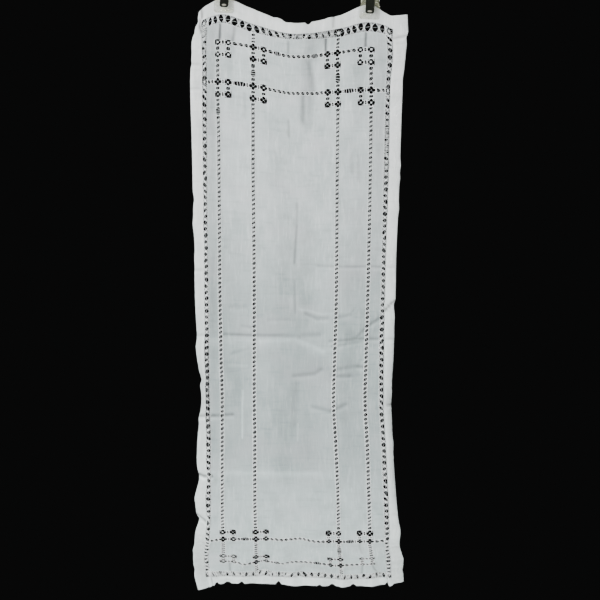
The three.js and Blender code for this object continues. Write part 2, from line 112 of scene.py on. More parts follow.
# %% Sizes
WIDTH = 390.0
LENGTH = 1090.0
HALF = WIDTH / 2
HEM = 19.6
BORDER = 15.7
HEM_LINE = HALF - HEM
GROUND_EDGE = HEM_LINE - BORDER
GROUND_TOP = HEM + BORDER
GROUND_BOTTOM = LENGTH - GROUND_TOP
BORDER_LINE = HEM + BORDER / 2
OUTER, INNER = 136.0, 76.0
FIRST, SECOND = 68.5, 139.0
SQUARE = 11.4
STEP_ACROSS = 18.5
STEP_DOWN = {0: 22.0, LENGTH: 17.5}
TOP_BELOW_BAR = 28.8
# %% Open squares
ENDS = (0, LENGTH)
CROSSINGS = list(product((-1, 1), (OUTER, INNER), ENDS, (FIRST, SECOND)))


def from_end(end, down):
    """A place down the cloth, measured from its top edge, that lies down mm inside one of its ends."""
    return down if end == 0 else LENGTH - down


# At each crossing of two ladder lines there are four: on the crossing, and one step towards the middle
squares, on_crossing, in_corner = [], [], []
for side, line, end, row in CROSSINGS:
    for across, down in product((0, 1), repeat=2):
        centre_u = side * (line - across * STEP_ACROSS)
        squares.append((centre_u, from_end(end, row + down * STEP_DOWN[end])))
        in_corner.append((line, row) == (OUTER, FIRST))
        on_crossing.append(across == 0 and down == 0 and not in_corner[-1])
squares, on_crossing, in_corner = np.array(squares), np.array(on_crossing), np.array(in_corner)
# The pull turns a square towards a diamond, and a swell below zero makes it smaller
square_pull = np.where(on_crossing, 1.0, rng.uniform(0.1, 0.8, len(squares)))
square_swell = np.where(on_crossing, 0.6, rng.uniform(-0.2, 0.5, len(squares)))
lower_swell = np.where(squares[:, 0] < 0, 0.2, -0.35)
square_swell += np.where(squares[:, 1] > LENGTH / 2, lower_swell, 0)
square_swell[in_corner] -= 0.7
print(len(squares), "open squares,", on_crossing.sum(), "on crossings")

# %% [markdown]
# ## How the cloth hangs
#
# The shape is worked out, not simulated: short tables say where lengthwise lines of the cloth hang and how
# far crosswise lines sag, and smooth curves run through them. That keeps the outline of the real runner,
# which a simulation would lose, and it keeps every thread on the cloth, because all of them use one function.

# %% Tables of the hanging shape
ACROSS_AT = [-HALF, -HEM_LINE, -GROUND_EDGE, -OUTER, -INNER, 0, INNER, OUTER, GROUND_EDGE, HEM_LINE, HALF]
ACROSS = np.array([
    # down, left: edge hem ground outer inner, middle, right: inner outer ground hem edge
    [0, -176, -169, -159, -139, -77, -1, 72, 133, 157, 169, 196],
    [27.5, -180, -171, -160, -142, -78, -1, 73, 131, 157, 170, 197],
    [68.5, -187, -170, -162, -142, -79, -2, 71, 131, 160, 170, 193],
    [139, -191, -170, -161, -142, -79, -3, 72, 131, 157, 165, 187],
    [255, -188, -169, -161, -140, -79, -3, 71, 130, 154, 163, 183],
    [510, -183, -166, -158, -138, -77, -4, 69, 125, 148, 156, 175],
    [620, -177, -165, -157, -136, -77, -6, 66, 122, 145, 154, 171],
    [690, -172, -164, -156, -134, -77, -6, 64, 120, 145, 153, 167],
    [770, -179, -163, -154, -134, -76, -4, 68, 124, 149, 157, 170],
    [865, -181, -163, -154, -134, -76, -1, 72, 127, 153, 162, 176],
    [951, -185, -166, -158, -134, -75, 0, 74, 130, 157, 165, 185],
    [1021, -191, -171, -163, -136, -76, 1, 79, 137, 162, 171, 193],
    [1062, -191, -171, -162, -137, -75, 1, 81, 140, 165, 174, 196],
    [1090, -185, -167, -158, -136, -76, 1, 81, 141, 166, 175, 198],
])
LEFT_CLIP, RIGHT_CLIP = -128.0, 132.0
SAG_AT = [
    -HALF, -HEM_LINE, -GROUND_EDGE, LEFT_CLIP, -INNER, 0, INNER, RIGHT_CLIP, GROUND_EDGE, HEM_LINE, HALF,
]
SAG = np.array([
    # down, left: edge hem ground clip inner, middle, right: inner clip ground hem edge
    [0, 1.5, -5.5, -12, -23, -2.5, 22, 8.5, -12, 3.5, 8.5, 6],
    [19.6, 0, -3, -8, -14, 4, 22, 12, 0, 6, 12, 10.5],
    [35.3, 0, -3, -8, -14, 3, 16.5, 11, 1, 6, 11, 10],
    [68.5, -10.5, -11.5, -12.5, -13.5, -4.5, 14, 6, 0, 2.5, 3.5, 3.5],
    [139, -12.5, -13, -13, -13.5, -5.5, 8.5, 5, 1.5, 2.5, 4, 4],
    [300, -7, -7, -7, -7, -3.5, 3.5, 2.5, 1, 1.5, 2, 2],
    [600, 0, 0, 0, 0, 0, 0, 0, 0, 0, 0, 0],
    [930, 0, 0, 0, 0, 0, 0, 0, 0, 0, 0, 0],
    [1021, -4, -4, -4, -3, -1, -2, 4, 2, 0, 0, 0],
    [1062, -2, -2, -3, -3, -2, -2, 3, 2, 0, 0, 0],
    [1090, 9, 5.5, 1.5, -2, -1.5, 1.5, 3, 3, 0, -2, -5],
])
# down, degrees that the lower end leans back from straight
LEAN = np.array([[0, 0], [855, 0], [905, 16], [940, 35], [975, 43], [1040, 48], [1090, 38]])
# down, then how far the left and the right hem's outer edges curl back
CURL = np.array([
    [0, 6, 2], [68, 5, 1], [139, 2, 1], [255, 4, 2], [510, 9, 4], [620, 14, 9],
    [690, 17, 13], [770, 9, 10], [865, 7, 8], [951, 2, 2], [1090, -3, 3],
])
# Soft lengthwise folds: across, drift, from, to, depth, width
FOLDS = [
    (-104, -6, 14, 190, 4.5, 13),
    (-52, 8, 30, 420, -4, 26),
    (4, 6, -60, 260, -6, 40),
    (34, -4, 10, 240, 5, 14),
    (96, 8, 20, 230, -4.5, 18),
    (-104, 10, 260, 900, 5, 26),
    (-38, -8, 330, 930, -5, 30),
    (30, 6, 260, 900, 4.5, 26),
    (88, -6, 300, 920, -5, 26),
]
# Old pressed creases that run across: down, depth, reach
CREASES = [(578, 3, 16), (470, -2, 20), (742, 2, 22)]
# Nips in the side hems: side, down, inward, reach
NIPS = [(-1, 832, 5, 16), (-1, 905, 2, 14), (1, 548, 2.5, 16), (1, 700, 3, 20)]


# %% Curves through the tables
def curve_through(stops, values, at):
    """A cubic between stops. Its slope at a stop is twice the product of the two neighbouring chords over
    their sum, or 0 where they differ in sign, so it never overshoots. values has one row for each stop."""
    stops = np.asarray(stops, float)
    values = np.asarray(values, float)
    if values.ndim == 1:
        values = values[:, None]
    gaps = np.diff(stops)[:, None]
    chords = np.diff(values, axis=0) / gaps
    before, after = chords[:-1], chords[1:]
    total = np.where(before + after == 0, 1, before + after)
    inside = np.where(before * after > 0, 2 * before * after / total, 0)
    slopes = np.vstack([chords[:1], inside, chords[-1:]])
    i = np.clip(np.searchsorted(stops, at, side="left") - 1, 0, len(stops) - 2)
    column = np.arange(len(at)) if values.shape[1] > 1 else np.zeros(len(at), int)
    span = gaps[i, 0]
    t = np.clip((at - stops[i]) / span, 0, 1)
    rise = 3 * t**2 - 2 * t**3
    leave = t * (1 - t) ** 2 * slopes[i, column]
    arrive = t**2 * (t - 1) * slopes[i + 1, column]
    return values[i, column] * (1 - rise) + values[i + 1, column] * rise + span * (leave + arrive)


def surface_through(places, rows, u, v):
    """Each column of the table becomes a curve down the cloth, and a curve across joins those at u."""
    columns = np.array([curve_through(rows[:, 0], rows[:, k], v) for k in range(1, rows.shape[1])])
    return curve_through(places, columns, u)


def smooth(x, low, high):
    """0 below low, 1 above high, and 3t^2 - 2t^3 between."""
    t = np.clip((x - low) / (high - low), 0, 1)
    return t * t * (3 - 2 * t)


def bell(x):
    """1 at 0, falling on both sides as exp(-x^2)."""
    return np.exp(-x * x)


# %% The lean of the lower end
WHOLE = np.arange(LENGTH + 1)
lean_angle = np.radians(np.interp(WHOLE[1:] - 0.5, LEAN[:, 0], LEAN[:, 1]))
FALL = np.concatenate([[0], np.cumsum(np.cos(lean_angle))])
BACK = np.concatenate([[0], np.cumsum(np.sin(lean_angle))])
print("the lower end hangs", round(BACK[-1]), "mm back and", round(FALL[-1]), "mm down")

# %% [markdown]
# ## Small creases
#
# Fine linen that was folded in a drawer keeps sharp little creases. The main ones are listed one by one,
# each as a soft trough or ridge along a line, and a low crumple made of crossing waves fills the rest. A
# crease this narrow is darker inside than any grid can shade, so each line also gives the painted shade that
# darkens the cloth along it (or, below zero, the painted highlight where its ridge catches the light). The
# cloth stays flat where a clip's jaws hold it.

# %% Listed creases
# Each: from u v, to u v, depth back from the viewer, half width, darkness: the painted shade in the crease,
# and below zero, a painted highlight on a ridge, and the paler colour of the two thick threads
CREASE_LINES = [
    (-131, 33, -132, 65, 2.6, 2.0, 0.42),
    (-107, 38, -109, 64, 1.6, 3.0, 0.16),
    (-180, 0, -175, 14, 2.0, 3.4, 0.24),
    (-185, 17, -172, 44, 2.6, 3.4, 0.3),
    (127, 38, 127, 61, 2.4, 1.9, 0.4),
    (53, 30, 55, 66, 2.2, 2.1, 0.32),
    (-15, 41, -14, 66, 1.6, 2.4, 0.18),
    (68, 0, 67, 15, 1.6, 2.0, 0.26),
    (15, 138, 15, 188, 2.2, 5.0, 0.08),
    (25, 79, 36, 133, 1.8, 5.0, 0.06),
    (-12, 190, -12, 218, 1.2, 2.2, 0.12),
    (-88, 155, -89, 194, 1.4, 4.0, 0.06),
    (104, 254, 105, 285, 1.0, 4.0, 0.05),
    (115, 255, 116, 299, 1.0, 3.0, 0.05),
    # the old lengthwise fold down the middle
    (3, 339, 3, 379, 1.0, 1.9, 0.08),
    (3, 379, 0, 424, 1.4, 1.9, 0.15),
    (0, 424, -1, 447, 1.8, 2.1, 0.16),
    (-1, 478, 1, 537, 0.9, 1.9, 0.08),
    (4, 648, 1, 733, 1.0, 8.0, 0.04),
    # an arc of the crosswise fold, with its lit upper lip
    (21, 538, 41, 547, 1.6, 2.8, 0.07),
    (41, 547, 60, 546, 1.6, 2.8, 0.07),
    (77, 545, 104, 540, 1.5, 2.4, 0.06),
    (104, 540, 114, 528, 1.2, 2.2, 0.03),
    (9, 531, 30, 534, -1.0, 2.2, -0.05),
    (30, 534, 50, 540, -1.0, 2.2, -0.05),
    (50, 540, 80, 538, -1.0, 2.2, -0.04),
    (80, 538, 107, 535, -1.0, 2.0, -0.03),
    (-116, 527, -92, 526, 1.0, 3.2, 0.05),
    (-50, 549, -9, 548, 0.8, 2.4, 0.03),
    (-98, 560, -77, 563, 0.8, 2.2, 0.04),
    (-116, 609, -86, 600, 0.8, 2.4, 0.04),
    (-122, 631, -89, 631, -0.8, 2.0, -0.04),
    (-83, 527, -83, 558, 0.0, 1.8, -0.05),
    (111, 336, 111, 354, 0.0, 1.8, -0.04),
    (111, 476, 111, 496, 0.0, 1.8, -0.04),
    (-38, 348, -38, 366, 0.0, 1.8, -0.04),
    # the slanting crease from the right edge
    (194, 516, 177, 533, 2.6, 2.4, 0.34),
    (177, 533, 136, 562, 1.8, 2.4, 0.1),
    (136, 562, 118, 580, 1.4, 2.6, 0.1),
    (118, 580, 100, 587, 1.2, 2.6, 0.07),
    # the old crosswise fold at the middle of the length
    (-130, 575, -78, 577, 1.8, 2.0, 0.1),
    (-78, 577, -24, 577, 1.4, 2.2, 0.09),
    (-24, 577, 10, 579, 1.2, 3.0, 0.07),
    (15, 577, 47, 576, 1.4, 4.0, 0.07),
    (66, 587, 127, 583, 1.4, 2.1, 0.09),
    (127, 583, 193, 583, 1.4, 2.1, 0.09),
    (70, 596, 127, 587, 1.2, 2.2, 0.08),
    (-180, 585, -78, 586, -1.2, 3.4, -0.05),
    (-66, 587, 3, 583, -1.2, 4.0, -0.07),
    (3, 583, 56, 606, -1.4, 4.4, -0.05),
    (0, 649, 40, 645, 1.4, 3.4, 0.08),
    (40, 645, 51, 638, 1.4, 3.4, 0.08),
    (74, 649, 107, 649, 1.2, 3.0, 0.07),
    (77, 638, 122, 631, 1.0, 3.0, 0.05),
    (0, 651, 0, 674, 0.8, 2.6, 0.03),
    (119, 632, 131, 633, 1.0, 2.4, 0.1),
    (42, 452, 92, 454, 0.8, 1.9, 0.06),
    (92, 454, 190, 454, 0.9, 1.9, 0.08),
    (-195, 462, -172, 462, 1.4, 2.2, 0.08),
    (-195, 577, -167, 575, 1.4, 2.2, 0.08),
    (-194, 721, -150, 720, 1.8, 2.2, 0.16),
    (-150, 720, -116, 718, 1.4, 2.2, 0.11),
    (-195, 825, -184, 828, 3.0, 2.4, 0.32),
    (-184, 828, -157, 828, 2.4, 2.2, 0.24),
    (-157, 822, 44, 824, -1.2, 4.0, -0.045),
    (-195, 896, -189, 904, 3.0, 2.4, 0.3),
    (-189, 904, -180, 910, 2.0, 2.4, 0.2),
    (36, 705, 69, 712, 1.0, 3.0, 0.06),
    (69, 712, 100, 700, 1.2, 3.0, 0.08),
    (186, 702, 195, 700, 1.4, 1.9, 0.18),
    (178, 38, 194, 33, 1.8, 2.0, 0.14),
    (-193, 105, -182, 106, 1.2, 1.9, 0.07),
    (-194, 149, -181, 150, 1.2, 1.9, 0.07),
    # short creases that the lower border's tying thread draws up
    (-125, 1024, -124, 1061, 1.8, 1.8, 0.22),
    (118, 1017, 115, 1052, 1.8, 1.8, 0.22),
    (135, 1019, 138, 1039, 1.6, 1.8, 0.2),
    (138, 1039, 144, 1056, 1.6, 1.8, 0.2),
    (117, 960, 119, 988, 1.2, 1.9, 0.12),
    (-74, 967, -73, 992, 1.0, 1.9, 0.1),
    # the seams where a side hem laps over an end hem
    (-158, 1070, -160, 1090, 1.6, 1.5, 0.3),
    (161, 1066, 166, 1088, 1.6, 1.5, 0.26),
    # two thick threads in the weave
    (-98, 675, -99, 760, 0.0, 1.3, -0.12),
    (6, 735, 5, 765, 0.0, 1.3, -0.08),
]
# Broad soft patches of painted shade, below zero, and painted light, above it: u, v, half sizes, brightness
LIGHT_AND_SHADE_PATCHES = [
    (-149, 160, 10, 150, -0.13), (-151, 470, 9, 210, -0.1), (150, 170, 11, 140, -0.1),
    (152, 420, 10, 130, -0.05),
    (-93, 200, 34, 120, 0.025), (60, 260, 45, 120, 0.01), (6, 800, 110, 24, -0.02), (-50, 826, 110, 6, 0.03),
    (121, 380, 13, 110, -0.045), (104, 240, 22, 120, -0.02), (-50, 592, 80, 8, 0.035), (60, 606, 60, 7, 0.02),
    (-150, 592, 22, 8, 0.035), (107, 575, 16, 10, -0.035), (145, 574, 8, 9, -0.035), (40, 628, 26, 14, -0.03),
    (-183, 250, 11, 330, -0.06), (-183, 760, 11, 300, -0.07), (184, 250, 11, 200, 0.02),
    (178, 700, 11, 240, 0.1),
    (-172, 8, 6, 7, -0.1), (-176, 32, 5, 9, -0.1), (-187, 24, 5, 12, 0.04), (-160, 20, 5, 9, -0.04),
    (-186, 140, 7, 5, -0.05), (-184, 372, 8, 6, -0.04), (-186, 655, 7, 14, -0.05), (187, 150, 6, 8, -0.04),
    (186, 897, 9, 3, -0.08), (186, 920, 9, 3, -0.06), (186, 972, 9, 3, -0.07), (186, 1023, 9, 3, -0.07),
    (-186, 1010, 9, 3, -0.05), (-184, 1052, 9, 3, -0.05), (-120, 1078, 5, 10, -0.05),
    (52, 1078, 5, 10, -0.05), (186, 945, 9, 6, 0.03), (-187, 930, 8, 14, 0.03),
    (0, 1084, 180, 9, 0.11), (10, 6, 70, 10, 0.035), (185, 1000, 9, 80, 0.03),
    (184, 32, 8, 5, -0.05), (-70, 8, 8, 12, -0.03), (20, 10, 7, 12, -0.03), (100, 10, 12, 10, -0.03),
    (-60, 505, 26, 60, -0.02), (30, 400, 50, 26, -0.012), (100, 470, 26, 22, -0.02),
    (-100, 470, 22, 40, -0.015),
    (87, 640, 50, 22, -0.04), (-141, 56, 12, 22, -0.05), (-118, 57, 9, 18, -0.03), (37, 47, 20, 18, -0.045),
    (30, 100, 8, 40, -0.04), (15, 165, 9, 34, -0.06), (80, 715, 26, 14, -0.035), (-110, 598, 40, 8, 0.035),
    (-30, 940, 120, 30, 0.02), (-40, 400, 60, 40, -0.015), (-105, 640, 40, 50, -0.02),
    (40, 860, 80, 30, 0.012),
    (-30, 1000, 90, 16, 0.015), (120, 250, 20, 60, -0.02), (-60, 170, 18, 50, -0.02),
]


def near_line(u, v, u0, v0, u1, v1, width):
    """1 on the line from (u0, v0) to (u1, v1), falling as a bell with the distance from it over width."""
    along = np.array([u1 - u0, v1 - v0])
    t = np.clip(((u - u0) * along[0] + (v - v0) * along[1]) / (along @ along), 0, 1)
    distance = np.hypot(u - u0 - t * along[0], v - v0 - t * along[1])
    return bell(distance / width)


# The crumple's waves: direction, length, phase, height. They wander, and their crests are sharp.
CRUMPLE = [
    (rng.uniform(0, np.pi), rng.uniform(26, 70), rng.uniform(0, 2 * np.pi), rng.uniform(0.16, 0.34))
    for wave in range(12)
]
WANDER, WANDER_LENGTH = 6, 37
CREST = 1.6


def small_creases(u, v):
    """The deepest listed trough and the highest ridge at a point, and crossing waves with sharp crests:
    the sum of height times 1 - CREST |sin| over the directions."""
    trough, ridge = np.zeros_like(u), np.zeros_like(u)
    for u0, v0, u1, v1, depth, width, dark in CREASE_LINES:
        near = near_line(u, v, u0, v0, u1, v1, width)
        trough = np.maximum(trough, depth * near)
        ridge = np.minimum(ridge, depth * near)
    total = trough + ridge
    for angle, length, phase, height in CRUMPLE:
        along = u * np.cos(angle) + v * np.sin(angle) + WANDER * np.sin((u - v) / WANDER_LENGTH + phase)
        total += height * (1 - np.abs(np.sin(np.pi * along / length + phase)) * CREST)
    return total


# %% The cloth's painted light and shade
# Painted shade through the ground's lower middle and painted light towards its lower end, and the hem
# takes a share of that: down, brightness
LIGHT_AND_SHADE_DOWN = np.array([
    [0, 0.97], [190, 1.0], [265, 0.96], [336, 0.95], [407, 0.885], [479, 0.78], [550, 0.69],
    [621, 0.7], [692, 0.68], [763, 0.67], [835, 0.75], [906, 0.88], [985, 1.2], [1090, 1.22],
])
HEM_SHARE = 0.2
# How strongly the painted shade of a crease that runs across, of one that runs down, and the painted
# highlight of a ridge, and a thick thread's paler colour, change the brightness
DARK_ACROSS, DARK_DOWN, LIT_RIDGE = 2.9, 2.4, 3.0
# A crease that runs across is softer, and has a painted highlight on the lit lip below it
SOFTER = 1.25
LIP_SHARE, LIP_BELOW = 1.5, 5.5
PATCH_STRENGTH = 2.0
DARKEST, LIGHTEST = 0.3, 1.25


def painted_light_and_shade(u, v):
    """The cloth's painted light and shade there: the painted tone down the cloth, less the painted shade
    of the strongest crease near by, plus the painted highlight of the strongest ridge or lip and the paler
    colour of the two thick threads, plus each soft patch of painted light and shade."""
    share = 1 - (1 - HEM_SHARE) * smooth(np.abs(u), GROUND_EDGE, HEM_LINE)
    shade = 1 + share * (np.interp(v, LIGHT_AND_SHADE_DOWN[:, 0], LIGHT_AND_SHADE_DOWN[:, 1]) - 1)
    darkened, lit = np.zeros_like(u), np.zeros_like(u)
    for u0, v0, u1, v1, depth, width, dark in CREASE_LINES:
        across = abs(u1 - u0) > abs(v1 - v0)
        wide = width * (SOFTER if across else 1)
        near = near_line(u, v, u0, v0, u1, v1, wide)
        darkened = np.maximum(darkened, (DARK_ACROSS if across else DARK_DOWN) * dark * near)
        lit = np.maximum(lit, -LIT_RIDGE * dark * near)
        if across and dark > 0:
            lit = np.maximum(lit, LIP_SHARE * dark * near_line(u, v - LIP_BELOW, u0, v0, u1, v1, wide))
    shade += lit - darkened
    for centre_u, centre_v, half_u, half_v, bright in LIGHT_AND_SHADE_PATCHES:
        shade += PATCH_STRENGTH * bright * bell((u - centre_u) / half_u) * bell((v - centre_v) / half_v)
    return np.clip(shade, DARKEST, LIGHTEST)


# %% Tucks in the ends and dents in the sides
# Tucks draw the end edges up or let them down: end, across, upward, reach
TUCKS = [
    (0, -32, 2.2, 7), (0, -19, -1, 5), (0, 21, -4.2, 4), (0, 60, 1, 6), (0, -80, 0.8, 8),
    (LENGTH, -150.5, 5.5, 3.4), (LENGTH, -130, 3.2, 5.5), (LENGTH, -104, 4.5, 4), (LENGTH, -36, 6.5, 3.4),
    (LENGTH, 38, 2.5, 3), (LENGTH, 60, 3.2, 4.5), (LENGTH, 98.5, 4, 4), (LENGTH, 161.5, 5, 3),
    (LENGTH, 172, -4.5, 6),
    (LENGTH, -168, -1.5, 4), (LENGTH, 0, -1.2, 9), (LENGTH, 80, -1.4, 8),
]
# Dents and bulges of the side edges: side, down, outward, reach above, reach below
DENTS = [
    (-1, 340, -2, 9, 9), (-1, 385, 1.5, 12, 12), (-1, 442, 1, 10, 10), (-1, 655, -2.5, 9, 9),
    (-1, 668, 1.5, 7, 7), (-1, 724, 2, 9, 9), (-1, 868, 2.5, 10, 10), (-1, 905, -5, 5, 22),
    (-1, 984, 1.5, 10, 10), (-1, 1048, -1.5, 8, 8), (-1, 20, -2, 6, 12), (-1, 70, 1.5, 12, 12),
    (-1, 105, -1.2, 5, 5), (1, 118, -1, 12, 12), (1, 272, 1.5, 9, 9), (1, 296, 1.2, 8, 8),
    (1, 350, 1.2, 10, 10), (1, 521, -2.6, 4, 20), (1, 545, 2.6, 14, 14), (1, 770, 1.2, 12, 12),
    (1, 930, 1.8, 16, 16), (1, 1010, 1.6, 12, 12), (1, 1046, -1.5, 8, 8), (1, 36, -2.6, 5, 12),
    (-1, 48, 2.4, 14, 16), (-1, 28, 3, 7, 7), (-1, 600, 3.4, 14, 34), (1, 692, 3.4, 22, 34),
    (-1, 430, -1.6, 34, 40), (1, 430, -1.5, 70, 70), (1, 968, -2.6, 18, 20),
]
# Where taut threads draw the cloth up or let it down: u, v, upward, half width, half height
DRAWN = [
    (-62, 1045, 5.6, 11, 34), (-28, 992, -5.6, 11, 40), (-97, 1022, -4.6, 13, 18), (6, 950, 1.5, 8, 20),
    (-160, 951, -3.7, 16, 22), (38, 951, -4.4, 22, 24), (86, 951, -4.0, 30, 24), (140, 951, -4.0, 30, 24),
    (42, 1060, 2.6, 12, 16), (140, 1060, 2.4, 14, 18), (2, 1062, 2.4, 6, 12), (-58, 950, 1.4, 8, 20),
    (66, 1030, -1.8, 20, 14),
]


# %% From the flat cloth to the hanging one
# The cloth is held this far to each side of a clip's middle, and this far down: held, free
GRIP_ACROSS, GRIP_DOWN = (24, 46), (38, 60)


def freedom(u, v):
    """0 between a clip's jaws, 1 where the cloth hangs free."""
    held = [1 - smooth(np.abs(u - clip), *GRIP_ACROSS) for clip in (LEFT_CLIP, RIGHT_CLIP)]
    return 1 - np.maximum(*held) * (1 - smooth(v, *GRIP_DOWN))


def edge_shift(u, v):
    """Sideways shift of the side hems: nips and dents as bells down the edge, fading to the ground."""
    outer = smooth(np.abs(u), GROUND_EDGE, HALF)
    total = np.zeros_like(u)
    for side, down, inward, reach in NIPS:
        total -= np.where(side * u > 0, side * inward, 0) * bell((v - down) / reach)
    for side, down, outward, above, below in DENTS:
        reach = np.where(v < down, above, below)
        total += np.where(side * u > 0, side * outward, 0) * bell((v - down) / reach)
    return total * outer


# The lower end's ruffle: height, length, phase
RUFFLES = [(3.5, 47, 0), (1.5, 29, 1)]
RUFFLE_FROM = 1000


def cloth_depth(u, v):
    """How far back: the lean, and while free, hem curl, soft folds, pressed creases, ruffle and small
    creases. A fold rises over the first 0.3 of its length and fades over the last 0.3."""
    outer = np.clip((np.abs(u) - GROUND_EDGE) / (HALF - GROUND_EDGE), 0, 1)
    left_curl, right_curl = (np.interp(v, CURL[:, 0], CURL[:, side]) for side in (1, 2))
    total = np.where(u < 0, left_curl, right_curl) * outer**2
    for across, drift, start, end, depth, width in FOLDS:
        t = (v - start) / (end - start)
        total += depth * smooth(t, 0, 0.3) * (1 - smooth(t, 0.7, 1)) * bell((u - across - drift * t) / width)
    for down, depth, reach in CREASES:
        total += depth * bell((v - down) / reach)
    ruffle = sum(height * np.sin(2 * np.pi * u / length + phase) for height, length, phase in RUFFLES)
    total += smooth(v, RUFFLE_FROM, LENGTH) * ruffle
    return np.interp(v, WHOLE, BACK) + freedom(u, v) * (total + small_creases(u, v))


def drawn_up(u, v):
    """How far up the cloth is drawn: a hump at each place in the table, and short tucks with steep sides,
    exp(-x^4), along the ends, that fade out in the hem."""
    total = np.zeros_like(u)
    for centre_u, centre_v, upward, half_u, half_v in DRAWN:
        total += upward * bell((u - centre_u) / half_u) * bell((v - centre_v) / half_v)
    for end, across, upward, reach in TUCKS:
        total += upward * np.exp(-(((u - across) / reach) ** 4)) * (1 - smooth(np.abs(v - end), 0, 18))
    return total


# All squares lie this near to an end. A pull reaches this many sides of a square, and fades as a bell.
SQUARES_WITHIN = 190
PULL_REACH, PULL_FADE = 1.4, 0.7


def pull(u, v):
    """Taut threads pull each open square out of shape: a shift away from its centre by its swell, plus its
    pull times the cosine of four times the direction, so its sides and its corners move opposite ways."""
    shift = np.zeros((2, len(u)))
    near = np.flatnonzero(np.minimum(v, LENGTH - v) < SQUARES_WITHIN)
    for (centre_u, centre_v), strength, swell in zip(squares, square_pull, square_swell):
        off_u, off_v = u[near] - centre_u, v[near] - centre_v
        far = np.maximum(np.abs(off_u), np.abs(off_v))
        close = far < SQUARE * PULL_REACH
        angle = np.arctan2(off_v[close], off_u[close])
        ring = bell((far[close] / (SQUARE / 2) - 1) / PULL_FADE)
        size = (strength * np.cos(4 * angle) + swell) * ring
        shift[:, near[close]] += size * np.stack([np.cos(angle), np.sin(angle)])
    return shift


def hang(u, v):
    """The place in mm of flat point (u, v): x from the across table, y the depth, z from the fall and sag."""
    u, v = np.broadcast_arrays(np.asarray(u, float), np.asarray(v, float))
    shape = u.shape
    u, v = u.ravel(), v.ravel()
    shift_u, shift_v = pull(u, v)
    x = surface_through(ACROSS_AT, ACROSS, u, v) + edge_shift(u, v) + shift_u
    fallen = np.interp(v, WHOLE, FALL) + surface_through(SAG_AT, SAG, u, v)
    z = -TOP_BELOW_BAR - fallen + drawn_up(u, v) - shift_v
    return np.stack([x, cloth_depth(u, v), z], axis=-1).reshape(*shape, 3)


# %% The surface on a 1 mm lattice
def unit(vectors):
    return vectors / np.maximum(np.linalg.norm(vectors, axis=-1, keepdims=True), 1e-12)


lattice = hang(np.arange(-HALF, HALF + 1)[None, :], np.arange(0, LENGTH + 1)[:, None])
step_down, step_across = np.gradient(lattice, axis=(0, 1))
lattice_facing = unit(np.cross(step_down, step_across))
print("lattice", lattice.shape[:2], "points, corners at, mm", lattice[::1090, ::390].round(0).tolist())


def read_lattice(table, u, v):
    """The table's four values around flat point (u, v), each weighted by how near the point is to it."""
    rows, columns = table.shape[:2]
    row = np.clip(np.floor(v).astype(int), 0, rows - 2)
    column = np.clip(np.floor(u + HALF).astype(int), 0, columns - 2)
    t = (v - row)[..., None]
    s = (u + HALF - column)[..., None]
    above = table[row, column] * (1 - s) + table[row, column + 1] * s
    below = table[row + 1, column] * (1 - s) + table[row + 1, column + 1] * s
    return above * (1 - t) + below * t


def lifted(u, v, lift):
    """Points in metres, lift mm out of the cloth's face. The three may be arrays of any shapes that agree."""
    u, v, lift = np.broadcast_arrays(u, v, lift)
    return (read_lattice(lattice, u, v) + read_lattice(lattice_facing, u, v) * lift[..., None]) * MM


# %% [markdown]
# ## Mesh helpers
#
# Two kinds of surface cover the whole object: a sheet on a grid of u and v, and a thread, which is a square
# section carried along a path. Both are worked out as whole arrays and handed to the mesh at once. There are
# thousands of threads, each under 2 mm thick, so four smooth-shaded sides are enough.


# %% Make a mesh from arrays
def mesh_piece(name, points, quads, flat=None, **values):
    """A mesh of four-cornered faces. flat gives each point's place on the flat cloth, which becomes the UV
    map, and each named set of values, one to a point, becomes an attribute that a finish can read."""
    mesh = bpy.data.meshes.new(name)
    mesh.vertices.add(len(points))
    mesh.vertices.foreach_set("co", np.asarray(points, np.float32).ravel())
    mesh.loops.add(quads.size)
    mesh.loops.foreach_set("vertex_index", quads.astype(np.int32).ravel())
    mesh.polygons.add(len(quads))
    mesh.polygons.foreach_set("loop_start", np.arange(0, quads.size, 4, dtype=np.int32))
    mesh.polygons.foreach_set("use_smooth", np.ones(len(quads), bool))
    if flat is not None:
        uv = mesh.uv_layers.new(name="flat")
        uv.data.foreach_set("uv", (flat[quads.ravel()] * MM).astype(np.float32).ravel())
    for key, numbers in values.items():
        attribute = mesh.attributes.new(key, "FLOAT", "POINT")
        attribute.data.foreach_set("value", np.asarray(numbers, np.float32))
    mesh.update(calc_edges=True)
    mesh.validate()
    piece = bpy.data.objects.new(name, mesh)
    bpy.context.collection.objects.link(piece)
    print(name, len(points), "points", 2 * len(quads), "triangles")
    return piece


SIDES = 4
# A little askew, so that no path runs exactly along it
TOWARDS_VIEWER = np.array([0.02, -1.0, 0.03])


